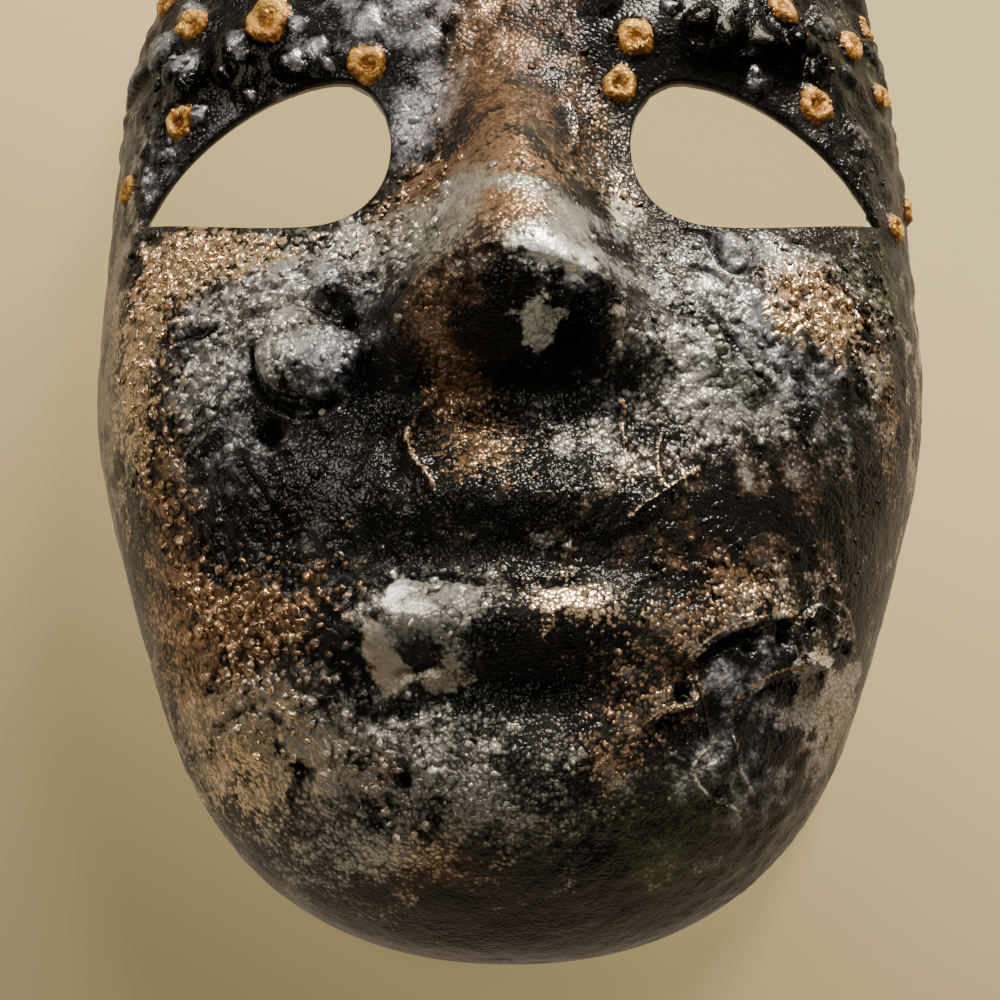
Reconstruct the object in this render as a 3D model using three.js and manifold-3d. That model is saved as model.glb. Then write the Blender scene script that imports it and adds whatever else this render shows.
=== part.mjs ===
// A full face mask, lying face up on its rim: one moulded shell, open behind, with two eye holes.
// Millimetres. +X is to the right as the face is looked at, +Y runs from the chin to the forehead
// and +Z points out of the face. The rim lies in the plane z = 0.
import * as THREE from 'three'
import { mergeVertices } from 'three/addons/utils/BufferGeometryUtils.js'
import Module from 'manifold-3d'

const wasm = await Module()
wasm.setup()

// Driving dimensions of the shell.
const WIDTH = 172
const FOREHEAD_LENGTH = 130
const CHIN_LENGTH = 116
const DOME_HEIGHT = 62
const WALL = 2.6

// How square the rim is above and below its widest level, and how much the jaw draws in.
const FOREHEAD_SQUARENESS = 3.7
const CHIN_SQUARENESS = 2.22
const JAW_TAPER = 0.065

// The dome's profile from its middle to the rim: flat in front, with steep sides.
const DOME_FLATNESS = 3.0
const DOME_SIDE = 2.2

// The features stand at their full rise where the dome has reached this share of its height.
const FULL_RISE = 0.6

// Levels of the features, measured from the widest level of the mask.
const EYE = 29
const NOSE_TIP = -9
const NOSE_BASE = -25
const UPPER_LIP = -44.5
const MOUTH = -55
const LOWER_LIP = -65
const CHIN_HOLLOW = -76
const CHIN = -92

// Soft swellings and hollows: middle, spread across and along, rise, and how square each is
// across. One with x above zero has a twin on the other side of the face.
const SWELLINGS = [
  { name: 'eye socket', x: 38, y: EYE, across: 24, along: 17, rise: -7 },
  { name: 'brow', x: 0, y: EYE + 28, across: 52, along: 16, rise: 3, square: 3 },
  { name: 'cheekbone', x: 48, y: EYE - 38, across: 26, along: 20, rise: 4 },
  { name: 'nose wing', x: 17, y: NOSE_TIP - 6, across: 8, along: 9, rise: 5 },
  { name: 'muzzle', x: 0, y: MOUTH, across: 34, along: 28, rise: 5 },
  { name: 'upper lip', x: 0, y: UPPER_LIP, across: 25, along: 9, rise: 4.5, square: 3 },
  { name: 'mouth line', x: 0, y: MOUTH, across: 26, along: 6, rise: -3.5, square: 3 },
  { name: 'lower lip', x: 0, y: LOWER_LIP, across: 22, along: 8, rise: 4.5, square: 3 },
  { name: 'hollow under the lip', x: 0, y: CHIN_HOLLOW, across: 22, along: 6, rise: -2.5 },
  { name: 'chin', x: 0, y: CHIN, across: 26, along: 13, rise: 5 },
]

// The nose ridge climbs from its root between the eyes, and its underside falls back to its base.
const NOSE_ROOT = EYE + 14
const NOSE_FADE = EYE + 34
const ROOT_RISE = 4
const RIDGE_SLOPE = 0.5
const UNDERSIDE_SLOPE = 2
const TIP_ROUNDING = 14
const BASE_ROUNDING = 5
const ROOT_SPREAD = 11
const BASE_SPREAD = 20
const NOSE_SQUARENESS = 2.6

// A blister of filler on the cheek, on the outside only.
const BLISTER = { x: -35.7, y: -17.5, radius: 8.8, rise: 4.5, roundness: 2.5 }

// An eye hole's outline: from its pointed outer corner over the top, round the inner end and back
// along the flatter lower edge. Each curve has two guides and an end.
const EYE_CORNER = [71.5, 20.5]
const EYE_CURVES = [
  { guides: [[63, 33.5], [48, 42.8]], end: [34, 42.8] },
  { guides: [[27, 42.8], [22.5, 37]], end: [22.5, 28.5] },
  { guides: [[22.5, 18], [28, 10.4]], end: [37, 10.4] },
  { guides: [[48, 10.4], [62, 15.5]], end: EYE_CORNER },
]
const EYE_CUT_BOTTOM = 15
const EYE_CUT_HEIGHT = 60
const EYE_CURVE_STEPS = 9

// Rings of triangles from the middle of the face to the rim.
const OUTER_RINGS = 33
const INNER_RINGS = 19
const SECTORS = 6
const RING_CROWDING = 1.2
const WEB_MIDDLE = new THREE.Vector2(0, -18)
const RIM_STEPS = 1200
const HALVINGS = 44

const smooth = THREE.MathUtils.smoothstep

// A rounded hump of height 1, with its own spread and squareness.
function hump(distance, spread, square = 2) {
  return Math.exp(-((Math.abs(distance) / spread) ** square))
}

function halfWidth(y) {
  const down = THREE.MathUtils.clamp(-y / CHIN_LENGTH, 0, 1)
  return (WIDTH / 2) * (1 - JAW_TAPER * Math.sin(Math.PI * down) ** 2)
}

// How far out a place lies: 0 in the middle and 1 at the rim.
function reach(x, y) {
  const square = y > 0 ? FOREHEAD_SQUARENESS : CHIN_SQUARENESS
  const length = y > 0 ? FOREHEAD_LENGTH : CHIN_LENGTH
  const sum = Math.abs(x / halfWidth(y)) ** square + Math.abs(y / length) ** square
  return sum ** (1 / square)
}

function noseHeight(x, y) {
  const ridge = ROOT_RISE + RIDGE_SLOPE * (NOSE_ROOT - y)
  const underside = UNDERSIDE_SLOPE * (y - NOSE_BASE + BASE_ROUNDING / 2)
  const meeting = (ridge + underside - Math.hypot(ridge - underside, TIP_ROUNDING)) / 2
  const above = Math.max(meeting, 0)
  const profile = above ** 2 / Math.hypot(above, BASE_ROUNDING)
  const fade = 1 - smooth(y, EYE - 4, NOSE_FADE)
  const spread = ROOT_SPREAD + (BASE_SPREAD - ROOT_SPREAD) * smooth(-y, -EYE, -NOSE_BASE)
  return profile * fade * hump(x, spread, NOSE_SQUARENESS)
}

function faceHeight(x, y) {
  let height = noseHeight(x, y)
  for (const s of SWELLINGS) {
    height += s.rise * hump(Math.abs(x) - s.x, s.across, s.square) * hump(y - s.y, s.along)
  }
  return height
}

function blisterHeight(x, y) {
  const out = Math.hypot(x - BLISTER.x, y - BLISTER.y) / BLISTER.radius
  return BLISTER.rise * Math.sqrt(Math.max(0, 1 - out ** BLISTER.roundness))
}

function surfacePoint(x, y, withBlister) {
  const dome = Math.max(0, 1 - reach(x, y) ** DOME_FLATNESS) ** (1 / DOME_SIDE)
  let z = DOME_HEIGHT * dome + faceHeight(x, y) * smooth(dome, 0, FULL_RISE)
  if (withBlister) z += blisterHeight(x, y)
  return new THREE.Vector3(x, y, z)
}

// The rim seen from the middle of the web: the place in each direction where reach is 1.
class RimCurve extends THREE.Curve {
  constructor() {
    super()
    this.arcLengthDivisions = RIM_STEPS
  }
  getPoint(t, target = new THREE.Vector2()) {
    const turn = 2 * Math.PI * t
    let near = 0
    let far = FOREHEAD_LENGTH + CHIN_LENGTH
    for (let halving = 0; halving < HALVINGS; halving += 1) {
      const distance = (near + far) / 2
      target.set(Math.cos(turn), Math.sin(turn)).multiplyScalar(distance).add(WEB_MIDDLE)
      if (reach(target.x, target.y) < 1) near = distance
      else far = distance
    }
    return target
  }
}

// The dome's profile, used to space the rings evenly along the slope and not in plan.
class DomeProfile extends THREE.Curve {
  getPoint(t, target = new THREE.Vector2()) {
    const angle = (Math.PI / 2) * t
    const out = Math.sin(angle) ** (2 / DOME_FLATNESS)
    const up = Math.cos(angle) ** (2 / DOME_SIDE)
    return target.set(out * (WIDTH / 2), up * DOME_HEIGHT)
  }
}

const rim = new RimCurve()
const profile = new DomeProfile()

// Joins two closed loops of vertices, each evenly spaced, with triangles.
function zip(first, second, triangles) {
  let a = 0
  let b = 0
  while (a < first.length || b < second.length) {
    const here = first[a % first.length]
    const across = second[b % second.length]
    const stepFirst = (a + 1) / first.length <= (b + 1) / second.length
    if (stepFirst) {
      triangles.push(here, first[(a + 1) % first.length], across)
      a += 1
    } else {
      triangles.push(here, second[(b + 1) % second.length], across)
      b += 1
    }
  }
}

// A web of rings over the face: ring k has SECTORS * k points, so the triangles stay even.
function web(rings, withBlister) {
  const points = [surfacePoint(WEB_MIDDLE.x, WEB_MIDDLE.y, withBlister)]
  const triangles = []
  let inner = [0]
  for (let ring = 1; ring <= rings; ring += 1) {
    const along = (ring / rings) ** RING_CROWDING
    const share = profile.getPointAt(along).x / (WIDTH / 2)
    const count = SECTORS * ring
    const loop = []
    for (let step = 0; step < count; step += 1) {
      const place = rim.getPointAt(step / count).clone()
      place.lerpVectors(WEB_MIDDLE, place, share)
      const point = surfacePoint(place.x, place.y, withBlister)
      if (ring === rings) point.z = 0
      loop.push(points.length)
      points.push(point)
    }
    zip(loop, inner, triangles)
    inner = loop
  }
  const geometry = new THREE.BufferGeometry().setFromPoints(points)
  geometry.setIndex(triangles)
  geometry.computeVertexNormals()
  return { points, triangles, geometry, edge: inner }
}

// The back of the shell: the smooth face, moved in by the wall along its own normals.
function moveIn(layer) {
  const normals = layer.geometry.getAttribute('normal')
  const onEdge = new Set(layer.edge)
  return layer.points.map((point, index) => {
    const normal = new THREE.Vector3().fromBufferAttribute(normals, index)
    if (onEdge.has(index)) normal.setZ(0).normalize()
    return point.clone().addScaledVector(normal, -WALL)
  })
}

function toManifold(points, triangles) {
  const vertProperties = new Float32Array(points.flatMap((p) => [p.x, p.y, p.z]))
  const triVerts = new Uint32Array(triangles)
  return new wasm.Manifold(new wasm.Mesh({ numProp: 3, vertProperties, triVerts }))
}

function shellManifold() {
  const outer = web(OUTER_RINGS, true)
  const inner = web(INNER_RINGS, false)
  const shift = outer.points.length
  const points = [...outer.points, ...moveIn(inner)]
  const triangles = [...outer.triangles]
  for (let i = 0; i < inner.triangles.length; i += 3) {
    const [a, b, c] = inner.triangles.slice(i, i + 3)
    triangles.push(a + shift, c + shift, b + shift)
  }
  const innerEdge = inner.edge.map((index) => index + shift)
  zip(innerEdge, outer.edge, triangles)
  return toManifold(points, triangles)
}

function eyeShape(side) {
  const shape = new THREE.Shape()
  shape.moveTo(side * EYE_CORNER[0], EYE_CORNER[1])
  for (const { guides: [first, second], end } of EYE_CURVES) {
    shape.bezierCurveTo(side * first[0], first[1], side * second[0], second[1], side * end[0], end[1])
  }
  return shape
}

function eyeCutter(side) {
  const options = { depth: EYE_CUT_HEIGHT, bevelEnabled: false, curveSegments: EYE_CURVE_STEPS }
  const loose = new THREE.ExtrudeGeometry(eyeShape(side), options)
  loose.translate(0, 0, EYE_CUT_BOTTOM)
  loose.deleteAttribute('normal')
  loose.deleteAttribute('uv')
  const closed = mergeVertices(loose)
  const position = closed.getAttribute('position')
  const points = []
  for (let i = 0; i < position.count; i += 1) {
    points.push(new THREE.Vector3().fromBufferAttribute(position, i))
  }
  return toManifold(points, Array.from(closed.index.array))
}

function toGeometry(manifold) {
  const { vertProperties, triVerts } = manifold.getMesh()
  const geometry = new THREE.BufferGeometry()
  geometry.setAttribute('position', new THREE.BufferAttribute(vertProperties, 3))
  geometry.setIndex(new THREE.BufferAttribute(triVerts, 1))
  geometry.computeVertexNormals()
  return geometry
}

const darkPaint = new THREE.MeshStandardMaterial({ color: 0x3b352d, roughness: 0.45, metalness: 0.6 })

const shell = shellManifold().subtract(eyeCutter(1)).subtract(eyeCutter(-1))
const mask = new THREE.Mesh(toGeometry(shell), darkPaint)
mask.name = 'mask_shell'

// The origin lies under the middle of the mask's box, on the surface that it rests on.
const group = new THREE.Group()
group.position.y = (CHIN_LENGTH - FOREHEAD_LENGTH) / 2
group.add(mask)

export default group
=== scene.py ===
"""The finished look of a full face mask: a pulp shell under a rough crust of dark paint, with loose grains of
metallic paint on it, and a plain stage. The lists below are in millimetres, from the middle of the mask's
widest level: x to the right as the face is looked at, y from the chin to the forehead, z out of the face."""
import math
from typing import NamedTuple

import bpy
import numpy as np
from bpy.props import FloatProperty, FloatVectorProperty, IntProperty, PointerProperty
from bpy.types import Operator, Panel, PropertyGroup
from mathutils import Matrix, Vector


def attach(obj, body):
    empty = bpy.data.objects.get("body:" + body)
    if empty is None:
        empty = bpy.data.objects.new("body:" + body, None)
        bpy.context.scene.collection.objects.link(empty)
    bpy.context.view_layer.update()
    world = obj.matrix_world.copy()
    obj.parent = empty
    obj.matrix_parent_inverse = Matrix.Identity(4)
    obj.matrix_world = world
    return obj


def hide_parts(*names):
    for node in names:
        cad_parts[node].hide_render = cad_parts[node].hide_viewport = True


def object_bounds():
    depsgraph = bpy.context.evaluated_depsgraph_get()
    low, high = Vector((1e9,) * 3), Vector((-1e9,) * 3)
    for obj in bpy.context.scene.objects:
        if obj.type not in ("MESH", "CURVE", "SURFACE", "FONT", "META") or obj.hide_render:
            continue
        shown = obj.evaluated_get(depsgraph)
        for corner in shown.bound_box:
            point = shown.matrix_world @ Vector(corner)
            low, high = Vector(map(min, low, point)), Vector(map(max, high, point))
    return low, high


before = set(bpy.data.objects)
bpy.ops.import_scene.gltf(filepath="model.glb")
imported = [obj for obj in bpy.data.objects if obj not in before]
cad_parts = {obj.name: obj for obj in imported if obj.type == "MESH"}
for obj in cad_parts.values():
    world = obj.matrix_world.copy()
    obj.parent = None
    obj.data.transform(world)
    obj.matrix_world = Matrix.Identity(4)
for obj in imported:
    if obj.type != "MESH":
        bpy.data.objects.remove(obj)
CAD_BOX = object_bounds()

bl_info = {
    "name": "Hand-painted face mask",
    "version": (1, 0, 0),
    "blender": (4, 5, 0),
    "location": "View3D > Sidebar > Mask",
    "description": "Makes the painted crust of a full face mask, its grains of paint and a plain stage",
    "category": "Object",
}

MM = 0.001
SHELL_NODE = "mask_shell"
BODY = "root"
BOX = {"Low": tuple(CAD_BOX[0]), "High": tuple(CAD_BOX[1])}

# The mask's plan and profile, as on the solid shell in model.glb.
FOREHEAD_SQUARENESS = 3.7
CHIN_SQUARENESS = 2.22
JAW_TAPER = 0.065
DOME_FLATNESS = 3.0
DOME_SIDE = 2.2
FULL_RISE = 0.6
WEB_MIDDLE = (0.0, -18.0)
RING_CROWDING = 1.05
SECTORS = 6
RIM_STEPS = 4000
RIM_HALVINGS = 44
SLOPE_STEPS = 2001

# Levels of the features.
EYE = 29.0
NOSE_BASE = -25.0
NOSE_ROOT = EYE + 14
NOSE_FADE = EYE + 34
MOUTH = -55.0

# Soft swellings and hollows: x, y, spread across, spread along, rise and squareness across.
SWELLINGS = {
    "eye socket": (38, EYE, 24, 17, -7, 2),
    "brow": (0, EYE + 28, 52, 16, 3, 3),
    "cheekbone": (48, -9, 26, 20, 4, 2),
    "nose wing": (17, -15, 8, 9, 5, 2),
    "muzzle": (0, MOUTH, 34, 28, 5, 2),
    "upper lip": (0, MOUTH + 10.5, 25, 9, 4.5, 3),
    "mouth line": (0, MOUTH, 26, 6, -3.5, 3),
    "lower lip": (0, MOUTH - 10, 22, 8, 4.5, 3),
    "hollow under the lip": (0, MOUTH - 21, 22, 6, -2.5, 2),
    "chin": (0, MOUTH - 37, 26, 13, 5, 2),
}

# The nose: a ridge that climbs from its root and an underside that falls back to its base.
ROOT_RISE = 4.0
RIDGE_SLOPE = 0.5
UNDERSIDE_SLOPE = 2.0
TIP_ROUNDING = 14.0
BASE_ROUNDING = 5.0
ROOT_SPREAD = 11.0
BASE_SPREAD = 20.0
NOSE_SQUARENESS = 2.6

# An eye hole's outline, from its pointed outer corner over the top and back along the lower edge.
EYE_CORNER = (71.5, 20.5)
EYE_CURVES = (
    ((63, 33.5), (48, 42.8), (34, 42.8)),
    ((27, 42.8), (22.5, 37), (22.5, 28.5)),
    ((22.5, 18), (28, 10.4), (37, 10.4)),
    ((48, 10.4), (62, 15.5), EYE_CORNER),
)
EYE_CURVE_STEPS = 28
EYE_MIDDLE = (44.0, 25.0)
PAINTED_WALL = 0.8
EYE_REACH = 40

# How far an outline draws the points of the outer and the inner sheet, and the steps round the cut edges.
OUTER_SNAP = 0.2
INNER_SNAP = 0.6
EYE_EDGE_TURNS = (22.5, 45, 67.5, 90)
RIM_EDGE_TURNS = (30, 60, 90)

# Where the surface steepens into the side walls, and how near the rim the relief is drawn finely.
SIDE_WALL = (0.82, 0.92)
DETAIL_END = 0.985

# Round lumps in the filler: x, y, radius, rise and roundness.
LUMPS = {
    "cheek blister": (-35.7, -17.5, 8.5, 4.2, 2.5),
    "lump above the blister": (-31.7, -3.2, 4.5, 1.4, 2.2),
    "temple lump": (-70.4, 61.1, 4.2, 1.6, 2.2),
    "temple lump below": (-71.0, 29.7, 3.2, 1.2, 2.2),
    "temple bead": (-67.2, 34.0, 1.8, 1.0, 2),
    "brow lump outer": (-53.8, 53.7, 3.4, 1.5, 2.2),
    "brow lump middle": (-40.9, 46.6, 3.4, 1.3, 2.2),
    "brow lump beside it": (-37.0, 48.6, 2.8, 1.2, 2.2),
    "brow lump inner": (-26.8, 52.5, 4.0, 1.6, 2.2),
    "bridge lump left": (-15.9, 48.2, 3.6, 1.3, 2.2),
    "brow bead one": (-60.2, 40.0, 1.6, 0.9, 2),
    "brow bead two": (-55.4, 47.5, 1.3, 0.8, 2),
    "brow bead three": (-34.7, 45.6, 1.3, 0.8, 2),
    "brow bead four": (-50.0, 41.8, 1.5, 0.8, 2),
    "brow lump edge": (-64.0, 66.0, 3.0, 1.2, 2.2),
    "right brow lump": (62.6, 62.8, 4.0, 1.3, 2.2),
    "right brow lump inner": (36.2, 54.2, 3.2, 0.9, 2.2),
    "right temple lump": (68.8, 37.9, 3.4, 1.1, 2.2),
    "right temple lump below": (65.6, 29.6, 2.6, 0.9, 2.2),
    "forehead lump left": (-38.0, 78.0, 5.0, 1.2, 2.2),
    "forehead lump middle": (8.0, 84.0, 5.5, 1.1, 2.2),
    "forehead lump right": (44.0, 86.0, 4.5, 1.2, 2.2),
}

# Holes and dents in the filler: x, y, radius and depth.
PITS = {
    "pit below the blister": (-42.3, -30.4, 3.0, 1.8),
    "hole beside the nose": (-28.4, -11.9, 1.6, 1.4),
    "pit at the torn fold": (28.6, -75.2, 1.9, 1.6),
    "pit in the net": (53.7, -64.2, 2.0, 1.2),
    "pit in the net above": (52.6, -61.2, 1.3, 0.9),
    "pit in the net left": (46.8, -64.6, 1.6, 1.0),
    "pit under the edge": (40.0, -66.6, 1.4, 0.8),
    "pit near the rim": (60.4, -62.6, 1.4, 0.7),
    "left jaw pit one": (-47.6, -76.2, 1.8, 1.5),
    "left jaw pit two": (-50.6, -77.8, 1.4, 1.3),
    "left jaw pit three": (-52.8, -71.2, 1.3, 1.1),
    "left jaw pit four": (-43.0, -75.0, 1.3, 1.1),
    "left jaw pit five": (-36.2, -86.2, 1.6, 0.4),
    "left jaw pit six": (-31.0, -86.0, 1.5, 0.4),
    "pit on the chin": (-18.0, -89.0, 1.5, 0.35),
}


class Stroke(NamedTuple):
    """A crease, a thread or a torn edge, and the places that it passes. A fine one is drawn on the finest
    web, and the edge of a rubbed one has caught some paint."""

    kind: str
    rise: float
    spread: float
    path: tuple
    fine: bool = False
    rubbed: str = ""


STROKES = {
    "mouth line": Stroke(
        "groove", 0.8, 0.8, ((-23, -57.4), (-13.6, -57.6), (-2, -59.4), (8, -59.0), (15, -57.6)),
    ),
    "fold over the blister": Stroke(
        "flap", 1.1, 0.7, ((-50, -10.2), (-44.5, -8.2), (-37, -6.4), (-30, -6.6), (-27, -9.4)), fine=True,
    ),
    "crease round the blister": Stroke(
        "groove", 1.2, 0.8,
        ((-44.6, -11), (-45.6, -18), (-41.5, -25), (-35, -27.4), (-28.6, -24), (-26, -17), (-28, -11)),
        fine=True,
    ),
    "fold left of the blister": Stroke("groove", 0.9, 1.0, ((-66, -9), (-58, -10.5), (-50, -10.5))),
    "bead of glue right of the nose": Stroke(
        "groove", 1.0, 0.7,
        ((30, 8.4), (35, 8.6), (36.6, 4.8), (38.2, 0.6), (41.4, -0.4), (43.6, 3.4), (42.6, 9)), fine=True,
    ),
    "drop inside the bead": Stroke("ridge", 1.3, 1.8, ((38.6, 9.2), (39.6, 5.6), (40.6, 2.6))),
    "tail of the drop": Stroke(
        "groove", 0.6, 0.6, ((31, 0.2), (34.6, -0.6), (38.4, -3.2), (40.6, -6.4)), fine=True,
    ),
    "slanting crease": Stroke("groove", 0.6, 0.6, ((31.5, -5.4), (36.5, -11.1), (41.7, -18), (47, -24.3))),
    "crease beside it": Stroke("groove", 0.35, 0.7, ((42, -9), (45.2, -13.6), (50, -18.6), (55.2, -21.8))),
    "thread on the bridge": Stroke(
        "ridge", 0.9, 0.6, ((10, 35.8), (11.3, 30.9), (11.6, 24.4), (9.6, 20.5)), rubbed="gold",
    ),
    "seam beside the nose": Stroke(
        "flap", 1.0, 0.6, ((22.7, -0.2), (19.6, 6.4), (15.8, 11.5), (12.5, 17.2), (8.3, 21.6)),
    ),
    "left crease of the lip": Stroke(
        "ridge", 1.2, 0.9, ((-18.1, -31), (-16.8, -37.2), (-14.5, -40.6), (-12.8, -44)), rubbed="gold",
    ),
    "hollow left of it": Stroke(
        "groove", 0.8, 1.6, ((-21.5, -30), (-20.4, -37.2), (-18.5, -42.6), (-17, -47)),
    ),
    "right vein": Stroke(
        "ridge", 1.1, 0.7, ((19, -49), (21.4, -46), (25.8, -42.7), (32.2, -37.3)), rubbed="gold",
    ),
    "right vein branch": Stroke(
        "ridge", 0.9, 0.7, ((25.8, -42.7), (24.6, -37.5), (25.5, -32.5)), rubbed="gold",
    ),
    "right vein at the nose": Stroke(
        "ridge", 0.8, 0.8, ((18.2, -25.6), (19.4, -28.6), (18.8, -32.4), (20.6, -36.2)), rubbed="copper",
    ),
    "lower right crease": Stroke("ridge", 0.6, 0.7, ((16.7, -50.4), (22.4, -47.3), (30.3, -40.2))),
    "upper fold edge": Stroke(
        "flap", 1.9, 0.4,
        ((27.6, -72.6), (32.1, -68.1), (36.5, -64.9), (42.4, -62.4), (48, -60.5), (51.7, -58.2)),
        fine=True, rubbed="beige",
    ),
    "middle fold edge": Stroke(
        "flap", 1.5, 0.4,
        ((37, -79.6), (39.2, -75.1), (42.5, -72.5), (46.5, -70.2), (51.5, -68.7), (57, -65.6)),
        fine=True, rubbed="copper",
    ),
    "torn lip": Stroke(
        "flap", 1.6, 0.4,
        ((22, -81), (25.4, -78.5), (28.5, -77.5), (31.3, -76.2), (31, -73.6)), fine=True, rubbed="gold",
    ),
    "line across the fold": Stroke(
        "ridge", 1.0, 0.4,
        ((30.5, -71.5), (32.2, -75.2), (32.9, -79.7), (34.2, -82.5)), fine=True, rubbed="beige",
    ),
    "cell below the fold": Stroke(
        "ridge", 0.6, 0.4,
        ((34.2, -82.5), (32.3, -84.1), (30.6, -87), (32.5, -89.5), (35.9, -91.3), (40, -92)),
        fine=True, rubbed="beige",
    ),
    "cell beside it": Stroke(
        "ridge", 0.5, 0.4,
        ((37.4, -79.6), (38.9, -82.9), (39.6, -86.1), (41.9, -88.7)), fine=True, rubbed="beige",
    ),
    "net of folds one": Stroke(
        "ridge", 1.2, 0.5,
        ((48.6, -68.6), (50.6, -66.6), (52.6, -67), (55.2, -66.6), (57.8, -64.2)), fine=True, rubbed="beige",
    ),
    "net of folds two": Stroke(
        "ridge", 1.3, 0.5,
        ((50.5, -68.4), (49.6, -66.4), (48.8, -63), (48.4, -60.8)), fine=True, rubbed="beige",
    ),
    "net of folds three": Stroke(
        "ridge", 1.2, 0.5,
        ((50.8, -62), (52, -59.4), (53.8, -57.6), (56.8, -58), (58.6, -60.6)), fine=True, rubbed="beige",
    ),
    "net of folds four": Stroke(
        "ridge", 1.0, 0.5,
        ((57.8, -64.2), (58.4, -61.2), (58.8, -58.2), (58.2, -55)), fine=True, rubbed="beige",
    ),
    "ridge along the rim": Stroke(
        "ridge", 0.7, 0.6,
        ((57.6, -52.6), (59.4, -55.6), (61.4, -58.4), (62.6, -62.5)), fine=True, rubbed="beige",
    ),
    "edge under the nose": Stroke(
        "ledge", 1.0, 0.7,
        ((-17.5, -15), (-12.5, -10.4), (-6, -9.8), (1.2, -10.6), (8, -11.4), (13.2, -12), (17, -16)),
        fine=True,
    ),
    "smooth band of the nose": Stroke("ridge", 0.6, 2.2, ((5, 10), (9.5, 2), (14.5, -7), (19.5, -19))),
    "hair line on the left": Stroke("groove", 0.45, 0.7, ((-50.1, -30.2), (-43.6, -40.2), (-36.1, -51.4))),
    "left cheek ridge": Stroke("ridge", 0.9, 1.0, ((-12.2, -25), (-15.5, -29), (-18.1, -32.5))),
    "left jaw seam": Stroke(
        "flap", 1.2, 0.8, ((-69, -63), (-62, -65.6), (-57, -68.4), (-53.6, -73.4), (-52, -80), (-49, -87)),
    ),
    "crack on the left": Stroke("groove", 0.7, 0.7, ((-54, -45), (-52.5, -50.4), (-49, -56.1))),
    "crease under the lip patch": Stroke(
        "groove", 0.9, 0.7, ((-19.6, -73.2), (-15.4, -72.4), (-11.8, -71.8)),
    ),
    "crease above the chin": Stroke("groove", 0.8, 1.4, ((-25, -80), (-17, -78.4), (-9, -76))),
}

# How far off a stroke still shows, from its start and from its middle, and how much more it stands out than a
# ruler on the flat would read.
STROKE_REACH = 60
STROKE_LENGTH = 40
STROKE_DEPTH = 1.1

# The paint that a torn edge has caught, and the painted shade in a groove, by its rise and at most.
RUBBED_COVER = {"beige": 0.75, "copper": 0.7, "gold": 0.75}
GROOVE_SHADE_FOR_RISE = 0.62
MOST_GROOVE_SHADE = 0.95

# More lumps are strewn over the brows and the forehead: how many, where, their radii, and their rise beside
# their radius.
STREWN_LUMPS = 62
STREWN_ACROSS = (-78, 78)
STREWN_ALONG = (30, 122)
STREWN_RADIUS = (1.7, 4.3)
STREWN_STEEPNESS = 0.42
STREWN_ROUNDNESS = 2.2
STREWN_SEED = 3
LUMP_WAVINESS = 0.13

# The lower edge of a brow: its level, how it arches and its middle, and half of the bridge between the brows.
BROW_LEVEL = 38
BROW_ARCH = 0.012
BROW_MIDDLE = 34
BRIDGE_HALF = 12

# Raised dots of ochre paint: x, y and radius.
DOTS = (
    (-72.1, 75.6, 3.0), (-62.8, 61.8, 3.2), (-46.8, 56.4, 4.3), (-27.1, 44.5, 3.4), (-64.5, 39.9, 3.2),
    (-76.8, 32.0, 2.8), (23.5, 49.2, 3.3), (20.6, 40.1, 3.1), (53.5, 61.6, 2.9), (69.1, 60.6, 3.2),
    (74.7, 71.1, 2.8), (59.5, 42.0, 3.5), (76.2, 53.9, 2.7), (76.8, 23.2, 2.8), (82.6, 33.9, 2.4),
    (-50.0, 84.0, 3.4), (-20.0, 74.0, 3.2), (14.0, 80.0, 3.0), (42.0, 74.0, 3.3), (58.0, 92.0, 3.0),
    (-4.0, 101.0, 3.4), (-62.0, 98.0, 2.8),
)
DOT_RISE = 1.1
DOT_SPREAD = 1.1
DOT_WAVINESS = 0.05

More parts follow.
